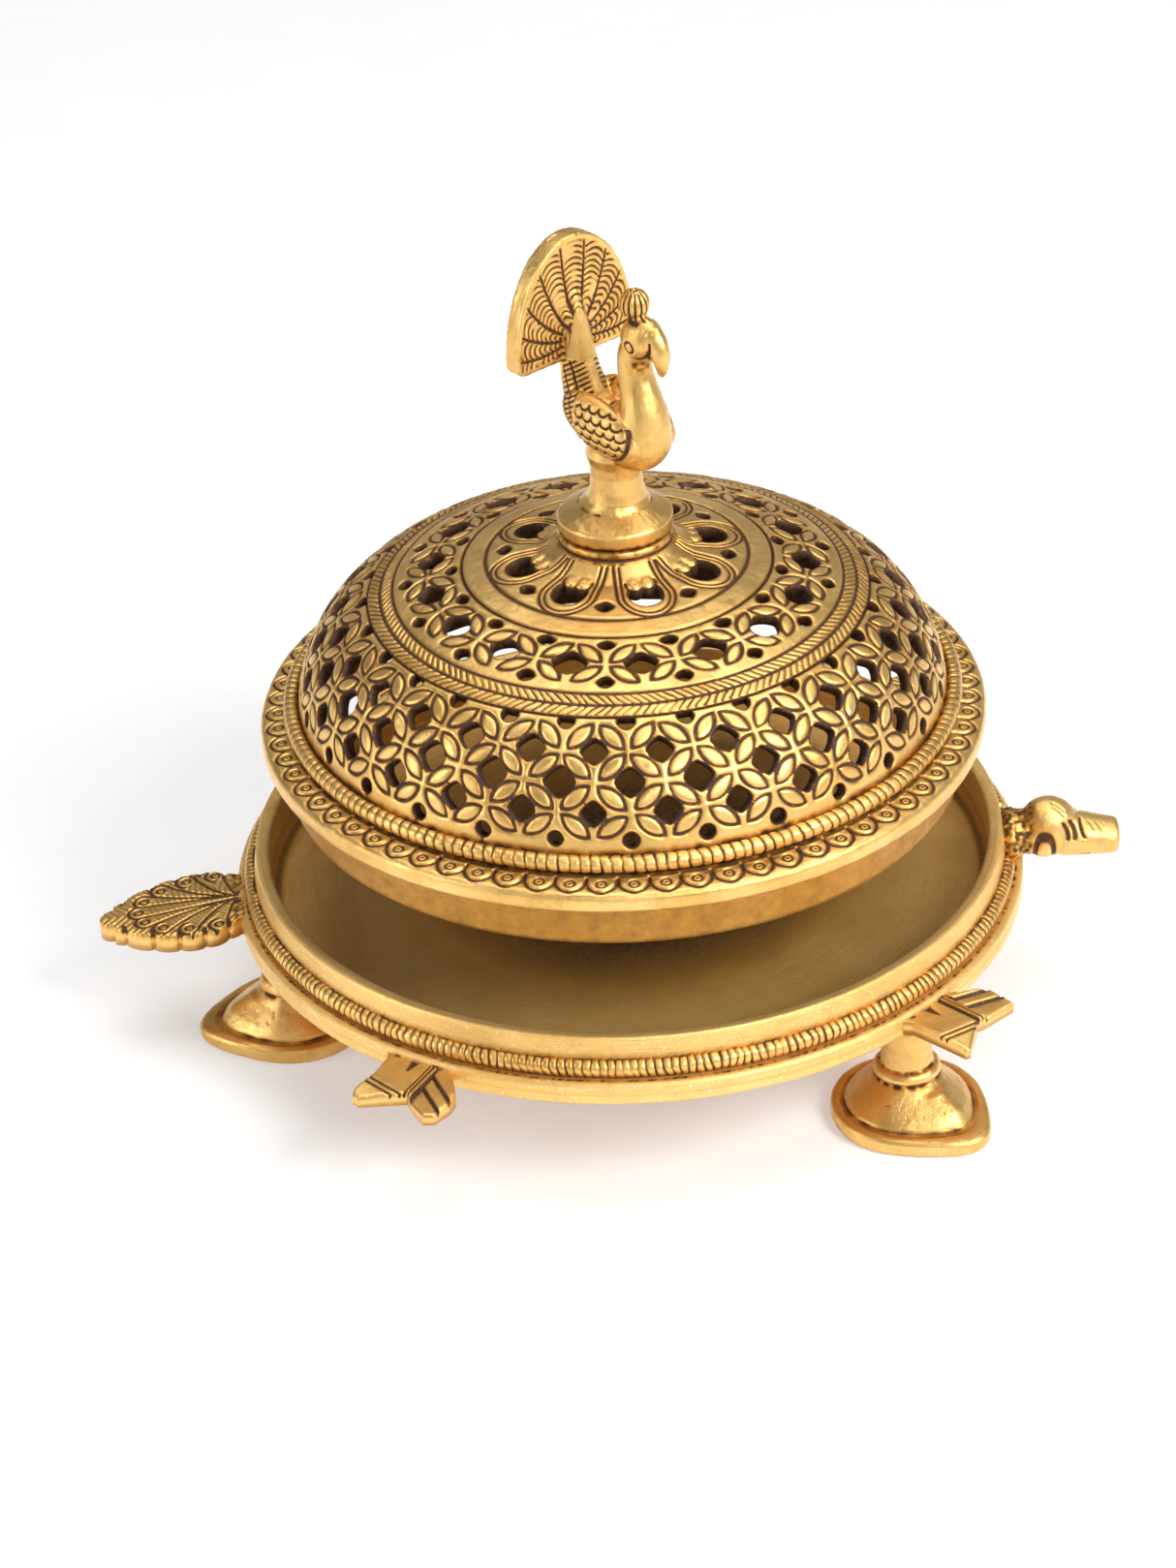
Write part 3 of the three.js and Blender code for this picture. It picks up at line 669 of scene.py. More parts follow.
def lid_rim():
    """Flange with its petal border, the skirt below it and the seat of the rope ring."""
    inner = shoulder_point(SHOULDER_END, SHOULDER_R - SHELL)
    outer = shoulder_point(SHOULDER_END, SHOULDER_R)
    skirt_inner_r, skirt_r, edge_r, rounding = 66.2, 69.2, 74.25, 0.35
    foot = -SKIRT_DEPTH + rounding
    inside = [inner, (63.8, SHOULDER_Z), (skirt_inner_r, 1), (skirt_inner_r, foot), (66.6, -SKIRT_DEPTH),
              (68.8, -SKIRT_DEPTH), (skirt_r, foot)]
    under = [(skirt_r, foot), (skirt_r, -0.4), (69.6, 0), (73.4, 0), (74.1, 0.5), (edge_r, 1.2),
             (edge_r, 3.0), (73.9, 3.8), (73.1, 4.25)]
    top = [(73.1, 4.25), (69.4, 4.6), (67.4, 5.4), (66.6, 6.4), outer]
    profile = np.concatenate([sampled(inside, 2.2)[:-1], sampled(under, 0.9)[:-1], sampled(top, 0.24)])
    count, first, middle_r = 72, math.radians(FRONT), 70.1  # petals of the border

    def relief(azimuth, r, z, points):
        face = ramp(r, 68.4, 69.0) * (z > 3.9)
        pitch = TURN / count
        t = (azimuth - first) / pitch
        index = np.round(t).astype(int)
        hand = JITTER[index % HANDS, 3]
        u = (t - index) * pitch * r + 0.15 * hand[..., 0]
        v = r - middle_r
        tip = gauge(u, v, 3.0, 2.9 + 0.15 * hand[..., 1], 1.7)
        scallop = np.where(v > 0, tip, np.abs(u) - 3.0)
        dot = np.hypot(u, v - 0.55)
        cut = np.maximum.reduce([line(scallop, 0.33), 0.85 * line(dot - 0.95, 0.24), line(dot, 0.3)]) * face
        proud = 0.28 * ramp(-scallop, 0.1, 0.7) * face
        seam = ramp(skirt_r - r, 0, 1.2) * (z > 4) * (0.5 + 0.4 * noise(points, 1.3))
        # Painted shade in the corner under the flange, beside the skirt.
        corner = 0.7 * line(z + 0.1, 0.5) * line(r - skirt_r - 0.2, 0.8)
        # The inside of the rim is darkened: painted shade inside the lid.
        within = r < skirt_inner_r + 0.3
        # The skirt is darkened evenly: painted shade, for the shade under the flange and the dark dish it
        # reflects.
        tarnish_and_shade = (0.43 + 0.03 * noise(points, 2)) * (z < -0.3)
        height = wobble(points) * ~within * np.where(z > 4.5, 1, 0.5) - 0.42 * cut + proud
        return height, np.maximum.reduce([cut, seam, corner, 0.85 * within, tarnish_and_shade])

    points, faces, dirt_and_shade = revolved(profile, 1440, relief, closed=True)
    add_piece("lid_dome_rim", points + [0, 0, LID_Z], faces, dirt_and_shade, "lid", "lid_dome")


def rope_relief(along, around, points, pitch):
    """Height and dirt of a chiselled rope ring: uneven cross cuts, with dirt low on both sides."""
    bent = along + 0.25 * np.sin(around) + 0.45 * noise(points, 2.6)
    cut = line(off_step(bent, pitch), 0.23) * (0.85 + 0.4 * noise(points, 3))
    low = ramp(np.abs(around), 1.1, 1.7) * (0.6 + 0.4 * noise(points, 2))
    return -0.3 * cut + 0.5 * wobble(points), np.maximum(0.9 * cut, 0.85 * low)


def rope_ring(name, body, ring_r, ring_z, section_r, lean, pitch, ends, columns):
    """A rope ring leaning by degrees, whole, or open between two azimuths with its ends tapered."""
    sides = 20
    around = np.arange(sides) * TURN / sides
    azimuth = np.radians(np.linspace(ends[0], ends[1], columns, endpoint=ends[1] - ends[0] < 360))
    out = np.stack([np.cos(azimuth), np.sin(azimuth), 0 * azimuth], -1)
    up = np.tile([0.0, 0.0, 1.0], (columns, 1))
    centres = out * ring_r + up * ring_z
    facing = (around[None, :] - math.radians(lean) + math.pi) % TURN - math.pi + 0 * azimuth[:, None]
    spoke = np.cos(around)[None, :, None] * out[:, None] + np.sin(around)[None, :, None] * up[:, None]
    skin = centres[:, None] + section_r * spoke
    height, dirt_and_shade = rope_relief(azimuth[:, None] * ring_r, facing, skin, pitch)
    dirt_and_shade = dirt_and_shade.ravel()
    radii = section_r + height
    if ends[1] - ends[0] < 360:
        index = np.arange(columns)
        from_end = np.minimum(index, index[::-1]) * (azimuth[1] - azimuth[0]) * ring_r
        radii = radii * (0.25 + 0.75 * ramp(from_end, 0, 2.2))[:, None]
        points, faces = swept(centres, out, up, radii)
        dirt_and_shade = np.concatenate([dirt_and_shade, [1.0, 1.0]])
    else:
        points = (centres[:, None] + radii[..., None] * spoke).reshape(-1, 3)
        faces = [grid_faces(columns, sides, True, True)]
    add_piece(name + "_cast", points, faces, dirt_and_shade, body, name)


# ---- dish --------------------------------------------------------------------------------------------------
def dish():
    """The turned dish: floor, belly flange and wall; tarnished inside, painted shade in the floor's corner,
    and soot with the lid's painted shade in the middle.
    """
    fillet_r = 2
    fillet = [(DISH_R - fillet_r * (1 - math.cos(a)), FLOOR_Z + fillet_r - fillet_r * math.sin(a))
              for a in np.linspace(0, math.pi / 2, 7)]
    edge = [(0, FLOOR_LOW_Z), (FLANGE_R - 0.7, FLOOR_LOW_Z), (FLANGE_R - 0.15, FLOOR_LOW_Z + 0.25),
            (FLANGE_R, FLOOR_LOW_Z + 0.8), (FLANGE_R, FLANGE_TOP_Z - 0.7),
            (FLANGE_R - 0.2, FLANGE_TOP_Z - 0.2), (FLANGE_R - 0.8, FLANGE_TOP_Z)]
    wall = [(WALL_FOOT_R, FLANGE_TOP_Z), (WALL_FOOT_R, FLANGE_TOP_Z + 3.6), (77.75, RIM_Z - 0.35),
            (77.45, RIM_Z - 0.05), (75.2, RIM_Z - 0.55), (DISH_R, RIM_Z - 0.85)]
    corners = edge + wall + fillet + [(0, FLOOR_Z)]
    profile = sampled(corners, 0.8)
    profile[[0, -1], 0] = 0

    def relief(azimuth, r, z, points):
        upper = z > FLANGE_TOP_Z - 0.1
        seam = np.maximum(line(r - 80.6, 0.7) * upper, line(z - FLANGE_TOP_Z - 3.9, 0.5) * (r > 77))
        seam = seam * (0.48 + 0.3 * noise(points, 0.6))
        file_marks = 0.04 * noise(np.stack([azimuth * r, z * 0.1, 0 * r], -1), 0.8) * (r > FLANGE_R - 0.3)
        # Painted shade: the corner round the floor, at the foot of the wall, is darkened.
        darkening = 0.5 * line(r - DISH_R + 1.2, 1.6) * (z < FLOOR_Z + 4) * (z > FLOOR_Z - 0.2)
        inside = 0.14 * (r < DISH_R + 0.1) * (z > FLOOR_Z - 0.1)
        on_floor = (z > FLOOR_Z - 0.1) * (z < FLOOR_Z + 1)
        # Soot and painted shade of the lid: the floor darkens towards its middle, under the lid.
        soot_and_lid_shade = (0.22 + 0.32 * ramp(62 - r, 0, 36) + 0.02 * noise(points, 9)) * on_floor
        beneath = 0.35 * (z < FLOOR_LOW_Z + 0.05)
        return 0.7 * wobble(points) + file_marks, np.maximum.reduce([seam, darkening, inside, soot_and_lid_shade, beneath])

    points, faces, dirt_and_shade = revolved(profile, 900, relief)
    add_piece("dish_body", points, faces, dirt_and_shade, "dish", "dish", TURNED)


# ---- tortoise ----------------------------------------------------------------------------------------------
VOXEL = 0.28  # size of the fused skins' faces
LIMB_HALF = 12.6  # half width of the grid that the tail and flippers are cut from


def tortoise_head():
    """Rough flared neck, smooth skull and blunt chamfered snout, with x from the flange's edge outwards."""
    shapes = [
        ellipsoid((-2.6, 0, 4.4), (3.4, 7.0, 6.0)),
        limb([(-3.6, 5.4), (0, 5.4), (5, 5.6), (11, 6.0)], [5.8, 4.9, 5.2, 4.6], flatten=1.08),
        ellipsoid((5.6, 0, 7.2), (6.4, 5.7, 5.9), tilt=18),
        ellipsoid((4.6, 0, 4.6), (5.4, 5.6, 4.6)),
        ellipsoid((9.0, 0, 5.4), (6.6, 5.5, 4.9), tilt=22),
        limb([(7, 5.2), (12, 4.7), (16.5, 4.2), (20.4, 3.9)], [5.0, 4.4, 3.9, 3.5], flatten=1.25),
    ]
    points, normals, faces = fused(shapes, VOXEL, smoothing=5)
    x, y, z = points.T
    side = ramp(np.abs(normals[:, 1]), 0.25, 0.55)
    points[:, 0] = np.minimum(x, 20.9 - 0.35 * np.maximum(np.abs(y) - 2.4, 0))
    points[:, 2] = np.maximum(z, 0.25)
    rough = (1 - ramp(x, 1.2, 3.0)) * (0.47 + 0.35 * noise(points, 0.7))
    arch = line(gauge(x - 4.3, z - 1.5, 2.0, 5.6, 2.6), 0.5) * (z > 0.6) * side
    flank = ramp(np.abs(normals[:, 1]), 0.08, 0.25)
    gills = 0
    for k in range(3):
        bend = x - (9.0 + 1.5 * k) + 0.22 * (z - 8) + 0.12 * (z - 8) ** 2 * (1 if k < 2 else -1)
        width = 0.42 if k < 2 else 0.3
        gills = np.maximum(gills, line(bend, width) * ramp(z, 5.8, 6.6) * (1 - ramp(z, 9.6, 10.4)) * flank)
    strokes = 0
    for k in range(2):
        scratch = np.abs(y) - 1.8 - 0.9 * k - 0.5 * (x - 7)
        strokes = np.maximum(strokes, 0.45 * line(scratch, 0.24) * (x > 5.8) * (x < 8.6) * (z > 8))
        tick = x - 14.4 - 1.6 * k - 0.6 * (np.abs(y) - 3)
        on_snout = (np.abs(y) > 1.6) * (np.abs(y) < 3.6) * (z > 5)
        strokes = np.maximum(strokes, 0.5 * line(tick, 0.24) * on_snout)
    mouth = line(z - 1.9 - 0.25 * (x - 12.5), 0.26) * (x > 11.5) * (x < 13.6) * side
    cut = np.maximum.reduce([arch, gills, strokes, mouth])
    height = -0.45 * cut + 0.7 * wobble(points) - 0.35 * rough
    points = points + normals * height[:, None]
    points = turned_to(points, HEAD_AZIMUTH, FLANGE_R, FLOOR_LOW_Z + 2.3)
    dirt_and_shade = np.maximum(cut, rough)
    add_piece("tortoise_head_cast", points, faces, dirt_and_shade, "dish", "tortoise_head")


def plate_piece(node, outline_field, relief, azimuth, top_z, length, thickness, droop=0.0):
    """A flat cast limb kept where outline_field(x, y) is above 0, x outward from the flange's edge."""
    step = 0.27
    x = np.arange(-0.6, length + step, step)
    y = np.arange(-LIMB_HALF, LIMB_HALF + step, step)
    slope = math.tan(math.radians(droop))

    def place(px, py, height):
        z = -thickness if height is None else height
        base = -slope * px
        return np.stack([px, py, base + z + 0 * px], -1)

    points, faces, dirt_and_shade = cut_sheet(
        x, y, outline_field, lambda v: 1 + 0 * v, place, relief, False, step, wall_dirt_and_shade=0.1, back_dirt_and_shade=0.3)
    points = turned_to(points, azimuth, FLANGE_R - 0.1, top_z)
    add_piece(node + "_cast", points, faces, dirt_and_shade, "dish", node)


TAIL_TIP_X, TAIL_TIP_R = 26.2, 2.9  # the rounded tip
TAIL_LENGTH = TAIL_TIP_X + TAIL_TIP_R
TAIL_WIDEST, TAIL_HALF, TAIL_ROOT_HALF = 8.0, 11.4, 8.2
TAIL_LOBE, TAIL_FIRST_NOTCH = 5.2, 4.0  # spacing of the notches between the edge's lobes, and the first one
FEATHER_HALF, FEATHER_TURN = 2.1, 24  # half width of a feather, and degrees from one to the next
EYES_X, EYES_REACH, EYES_HALF = 6, 15, 9.3  # the feathers' eyes lie on a half ellipse


def from_first_notch(x, y):
    return x + 0.15 * np.abs(y) - TAIL_FIRST_NOTCH


def tail_field(x, y):
    """A leaf with a lobed edge and a rounded tip."""
    past = np.clip((x - TAIL_WIDEST) / (TAIL_LENGTH + 0.6 - TAIL_WIDEST), 0, 1)
    before = np.clip((TAIL_WIDEST - x) / TAIL_WIDEST, 0, 1)
    half = np.where(x > TAIL_WIDEST, TAIL_HALF * (1 - past**2) ** 0.9,
                    TAIL_HALF - (TAIL_HALF - TAIL_ROOT_HALF) * before**2)
    lobe = np.abs(np.sin(math.pi * from_first_notch(x, y) / TAIL_LOBE)) ** 0.25
    leaf = (half + 1.8 * lobe - 1.5 - np.abs(y)) * 0.9
    return np.maximum(np.minimum(leaf, TAIL_TIP_X - x), TAIL_TIP_R - np.hypot(x - TAIL_TIP_X, y))


def tail_relief(x, y):
    """Feathers that sweep from the root to the leaf's edge, the outer under the inner, each with an outline,
    an eye and fine barbs, and a ribbed border beyond them."""
    points = np.stack([x, y, 0 * x], -1)
    cut = 0.5 * line(np.mod(0.75 * x - 0.65 * np.abs(y), 1.3) - 0.65, 0.24)
    barbs = 0.85 * line(np.mod(np.hypot(x + 4, y) + 0.35 * y, 1.15) - 0.57, 0.22)
    for k in sorted(range(-4, 5), key=abs, reverse=True):
        turn = math.radians(FEATHER_TURN * k)
        tip_x, tip_y = EYES_X + EYES_REACH * math.cos(turn), EYES_HALF * math.sin(turn)
        share = np.clip(x / tip_x, 0, 1)
        spine = tip_y * (0.12 * share + 0.88 * share**2)
        slope = tip_y / tip_x * (0.12 + 1.76 * share)
        body = np.abs(y - spine) / np.hypot(1, slope) - (0.5 + (FEATHER_HALF - 0.5) * share)
        from_tip = np.hypot(x - tip_x, y - tip_y)
        edge = np.where(x < tip_x, np.minimum(body, from_tip - FEATHER_HALF), from_tip - FEATHER_HALF)
        eye = line(from_tip - 0.85, 0.26) + line(from_tip, 0.26)
        filled = np.maximum(eye, 0.5 * barbs * (edge < -0.5) * (from_tip > 1.7) * (x > 2))
        cut = np.where(edge < 0.35, np.maximum(line(edge, 0.33), filled), cut)
    field = tail_field(x, y)
    edge = 1 - ramp(field, 0, 0.4)
    to_notch = np.abs(np.mod(from_first_notch(x, y) + TAIL_LOBE / 2, TAIL_LOBE) - TAIL_LOBE / 2)
    notch = (to_notch < 0.5) * (field < 1)
    root = (1 - ramp(x, 0.4, 2.2)) * (0.45 + 0.4 * noise(points, 0.8))
    dirt_and_shade = np.maximum.reduce([cut, 0.2 * edge, 0.8 * notch, root])
    return 0.5 * wobble(points) - 0.42 * cut - 0.3 * edge, dirt_and_shade


def inside_outline(outline):
    """Field of a closed outline: the distance to it, above 0 inside."""
    corners = np.array(outline, float)

    def field(x, y):
        x, y = np.broadcast_arrays(x, y)
        nearest = np.full(x.shape, 1e9)
        inside = np.zeros(x.shape, bool)
        for (ax, ay), (bx, by) in zip(corners, np.roll(corners, -1, 0)):
            dx, dy = bx - ax, by - ay
            share = np.clip(((x - ax) * dx + (y - ay) * dy) / (dx**2 + dy**2), 0, 1)
            nearest = np.minimum(nearest, np.hypot(x - ax - share * dx, y - ay - share * dy))
            level = y + 1e-9
            crosses = ((ay > level) != (by > level)) & (x < ax + dx * (level - ay) / (dy + 1e-12))
            inside = inside ^ crosses
        return np.where(inside, nearest, -nearest)
    return field


# Outlines with x outward and y towards the head: web, pointed thumb, fork, and a bunch of three fingers.
FRONT_FLIPPER = [(-0.6, -8.8), (1.4, -7.6), (7.8, -7.4), (14.6, -7.3), (15.0, -6.4), (10.5, 1.3),
                 (10.9, 3.0), (11.6, 11.4), (8.7, 11.8), (8.4, 11.1), (5.6, 11.6), (5.2, 10.6),
                 (3.4, 9.4), (1.6, 6.2), (-0.6, 5.4)]
REAR_FLIPPER = [(-0.6, -8.8), (1.4, -7.8), (6.8, -7.4), (12.4, -8.4), (14.4, -7.8), (15.0, -6.2),
                (13.4, -3.6), (9.9, 2.0), (12.2, 4.8), (14.2, 8.2), (13.2, 10.2), (9.0, 11.2),
                (6.0, 10.8), (3.6, 9.0), (1.4, 6.6), (-0.6, 6.0)]
STRAP_Y = 2.6  # the strap that crosses a flipper between its thumb and its fingers
FINGER = 2.9  # width of a finger


def flipper_relief(field, lean):
    """Chasing on a flipper. lean is how far the fingers lean outward, in degrees."""
    lean = math.radians(lean)

    def relief(x, y):
        points = np.stack([x, y, 0 * x], -1)
        on_fingers = (y > STRAP_Y + 1.0) * (x > 0.8)
        q = x * math.cos(lean) - (y - STRAP_Y) * math.sin(lean) + 1.2  # across the fingers
        steps = on_fingers * (0.4 - 0.5 * np.clip(np.floor(q / FINGER), 0, 2))
        to_split = np.mod(q + FINGER / 2, FINGER) - FINGER / 2
        splits = line(to_split, 0.33) * on_fingers * (q > 1.8) * (q < 7.2)
        strap = np.abs(y - STRAP_Y)
        straps = np.maximum(line(strap - 1.0, 0.33), 0.8 * line(strap, 0.24))
        raised = 0.45 * (1 - ramp(strap, 0.6, 1.0))
        on_thumb = y < STRAP_Y - 1.2
        g = x - 7.9 - 0.27 * (y + 7.5)  # along the thumb
        knuckles = np.maximum(line(g - 0.5, 0.28), line(g - 1.9, 0.28)) * on_thumb
        slope = -0.16 * np.maximum(g - 2.2, 0) * on_thumb
        thorn = line(y + 1.9, np.maximum(0.22 + 0.2 * (3.6 - x), 0.1)) * (x < 3.6)
        edge = 1 - ramp(field(x, y), 0, 0.45)
        root = (1 - ramp(x, 0.2, 1.2)) * (0.35 + 0.6 * noise(points, 1.2))
        cut = np.maximum.reduce([splits, straps, knuckles, thorn])
        height = 0.5 * wobble(points) + steps + raised + slope - 0.45 * cut - 0.28 * edge
        return height, np.maximum.reduce([cut, 0.2 * edge, root])
    return relief


def mirrored(function):
    """The same shape for the other side."""
    return lambda x, y: function(x, -y)


def flippers():
    """The right-hand flippers, and their mirror images on the left."""
    for side, azimuth in FLIPPERS.items():
        front = side.startswith("front")
        field = inside_outline(FRONT_FLIPPER if front else REAR_FLIPPER)
        relief = flipper_relief(field, 23 if front else 38)
        if side.endswith("left"):
            field, relief = mirrored(field), mirrored(relief)
        plate_piece("flipper_" + side, field, relief, azimuth, FLANGE_TOP_Z - 0.9, length=16.0, thickness=3.0)


# ---- feet --------------------------------------------------------------------------------------------------
def feet():
    """Three feet alike: an oval base with a toe, a flank that narrows to a collar, and a column."""
    top_z = FLOOR_LOW_Z - 0.05
    base = [(0, 0), (14.7, 0), (15.3, 0.4), (15.5, 1.0), (15.5, 2.8), (15.2, 3.4), (14.4, 3.7), (13.1, 3.8)]
    flank = [(12.7, 4.2), (11.3, 5.7), (9.6, 7.2), (8.0, 8.6), (6.9, 9.7), (6.4, 10.3)]
    collar = [(6.4, 10.8), (6.8, 11.3), (6.7, 12.2), (6.2, 12.9), (5.4, 13.5)]
    column = [(5.1, 14.3), (5.1, 18), (5.2, 20.4), (5.5, 22.4), (5.9, top_z), (0, top_z)]
    profile = sampled(base + flank + collar + column, 0.32)
    profile[[0, -1], 0] = 0

    def relief(angle, r, z, points):
        welt = line(z - 4.0, 0.33) * ((r > 12) & (r < 13.8)) * (0.5 + 0.35 * noise(points, 2.6))
        crevice = line(z - 10.4, 0.5) * (0.65 + 0.45 * noise(points, 1.3))
        crease = line(z - 13.4, 0.4) * (0.35 + 0.35 * noise(points, 0.9))
        neck = 0.08 * np.sin(z * 9 + 2 * noise(points, 3)) * (z > 14)
        # Painted shade where the column's top meets the dish's underside.
        head = 0.6 * ramp(z, FLOOR_LOW_Z - 1.6, FLOOR_LOW_Z - 0.3)
        pits = 0.6 * ramp(noise(points, 0.75), 0.66, 0.85) * (z < 10)
        cut = np.maximum.reduce([welt, crevice, crease])
        height = wobble(points) * 1.3 - 0.38 * cut + neck - 0.12 * pits
        return height * (z > 0.05), np.maximum.reduce([cut, head, 0.7 * pits, 0.5 * (z < 0.05)])

    points, faces, dirt_and_shade = revolved(profile, 300, relief)
    x, y, z = points.T
    out = np.maximum(np.hypot(x, y) - 6.6, 0)
    toward = np.maximum(np.cos(np.arctan2(y, x)), 0)
    points[:, 0] = x * (1 + 0.3 * toward**5 * out / 9)
    ridge = 0.9 * toward**18 * ramp(z, 4.2, 5.5) * (1 - ramp(z, 8.0, 9.4))
    points[:, 2] = z + ridge
    for side, (azimuth, circle_r) in FEET.items():
        node = "foot_" + side
        add_piece(node + "_cast", turned_to(points, azimuth, circle_r), faces, dirt_and_shade, "dish", node)


# ---- peacock -----------------------------------------------------------------------------------------------
# Heights are above the disc's foot, and the bird looks towards +X until it is turned to its heading.
FAN_ROOT_Z = 38.5  # the feathers radiate from here
FAN_HALF, FAN_FOOT_Z, FAN_MIDDLE_Z, FAN_TOP_Z = 15.2, 34.4, 36.4, 60.3
FAN_BACK_X, FAN_FRONT_X = -13.2, -9.3
WING_X, WING_Z, WING_LOW_Z = 2.6, 24.2, 16.0
WING_FEATHER, WING_ROW = 2.5, 2.0
EYE_X, EYE_Z = 10.2, 43.8
CREST_X = 8.3


def fan_outline():
    """Outline of the fan in (y, z): a tall arch with a flat foot and rounded lower corners."""
    angle = np.linspace(0, math.pi, 40)
    arch = np.stack([FAN_HALF * np.cos(angle), FAN_MIDDLE_Z + (FAN_TOP_Z - FAN_MIDDLE_Z) * np.sin(angle)], -1)
    right = [(FAN_HALF - inset, FAN_FOOT_Z + rise) for inset, rise in ((2, 0), (0.8, 0.2), (0.1, 1.0))]
    left = [(-y, z) for y, z in reversed(right)]
    return np.concatenate([arch, left, right])


def peacock_shapes():
    """Disc and stem, breast, body, wings, neck, tail's neck, head, beak, crest and its root, and fan."""
    disc = [(0, 0.1), (11.2, 0.1), (11.5, 0.5), (11.7, 2.9), (11.3, 3.3), (9.0, 4.6), (7.2, 5.7), (6.0, 7.2)]
    neck = [(5.4, 9.4), (5.1, 12.5), (5.3, 15), (6.0, 17), (5.2, 20), (0, 20)]
    stem = sampled(disc + neck, 1.0)
    stem[[0, -1], 0] = 0
    turned, turned_faces, _ = revolved(stem, 96, plain)
    turned = turned + np.array([0.9, 0, 0]) * ramp(turned[:, 2], 3.5, 9)[:, None]
    return [
        (turned, turned_faces),
        ellipsoid((7.4, 0, 23.0), (7.7, 6.6, 7.4), tilt=-10),
        ellipsoid((-0.6, 0, 22.2), (9.0, 5.8, 5.4), tilt=20),
        *(ellipsoid((2.2, y, 24.6), (11.0, 3.0, 5.7), tilt=12) for y in (-4.9, 4.9)),
        limb([(8.6, 22), (9.6, 30), (7.8, 37), (9.8, 43.6)], [6.4, 4.5, 3.5, 3.9]),
        limb([(-1, 22), (-6.4, 26.5), (-9.2, 34), (-10.2, 43), (-11.0, 52)], [5.6, 4.5, 3.6, 2.5, 1.0],
             flatten=1.1),
        ellipsoid((10.2, 0, 44.6), (4.7, 3.9, 4.9), tilt=35),
        limb([(12.0, 46.4), (14.6, 44.2), (15.7, 41.3), (15.3, 38.0)], [3.1, 2.5, 1.8, 0.6], flatten=0.85),
        ellipsoid((CREST_X, 0, 51.4), (3.1, 3.0, 3.1)),
        limb([(9.6, 47.0), (9.2, 48.5), (8.7, 50.0), (CREST_X, 51.0)], [1.7, 1.4, 1.4, 1.6]),
        standing_plate(fan_outline(), FAN_BACK_X, FAN_FRONT_X),
    ]


def fan_relief(y, z, points):
    """Engraving on the fan: curved feathers radiate from its foot to its edge, crossed by short ticks."""
    reach = np.hypot(y, z - FAN_ROOT_Z)
    angle = np.arctan2(y, z - FAN_ROOT_Z)
    feathers, spread = 11, math.radians(230)
    each = spread / feathers
    t = (angle + 0.35 * np.sin(1.2 * angle) * (reach / 14 - 1)) / each
    width = reach * each
    across = (t - np.round(t)) * width
    shaft = line(0.5 * width - np.abs(across), 0.3)
    bow = reach + 1.1 * (2 * across / np.maximum(width, 0.5)) ** 2 + 0.5 * noise(points, 4)
    ticks = 0.85 * line(np.mod(bow, 1.25) - 0.62, 0.25) * ramp(noise(points, 2.6), -0.7, -0.3)
    ticks = ticks * (np.abs(across) < 0.42 * width)
    high = np.maximum(z - FAN_MIDDLE_Z, 0)
    to_rim = gauge(y, high, FAN_HALF, FAN_TOP_Z - FAN_MIDDLE_Z)
    within = (1 - ramp(to_rim, -1.2, -0.5)) * ramp(z, FAN_FOOT_Z + 0.6, FAN_FOOT_Z + 1.2)
    beside_neck = 0.9 * ramp(5.0 - reach, 0, 2.0) * (0.5 + 0.4 * noise(points, 0.8))
    return np.maximum(np.maximum(shaft, ticks) * within * ramp(reach, 3.0, 4.2), beside_neck)


def wing_relief(x, z):
    """Overlapping crescent feathers on the wing, in rows from its lower edge."""
    row = np.floor((z - WING_LOW_Z) / WING_ROW)
    v = z - WING_LOW_Z - row * WING_ROW
    u = off_step(x + 0.5 * WING_FEATHER * np.mod(row, 2), WING_FEATHER)
    return line(np.hypot(u, v - 1.6) - 1.3, 0.25) * (v < 1.6)


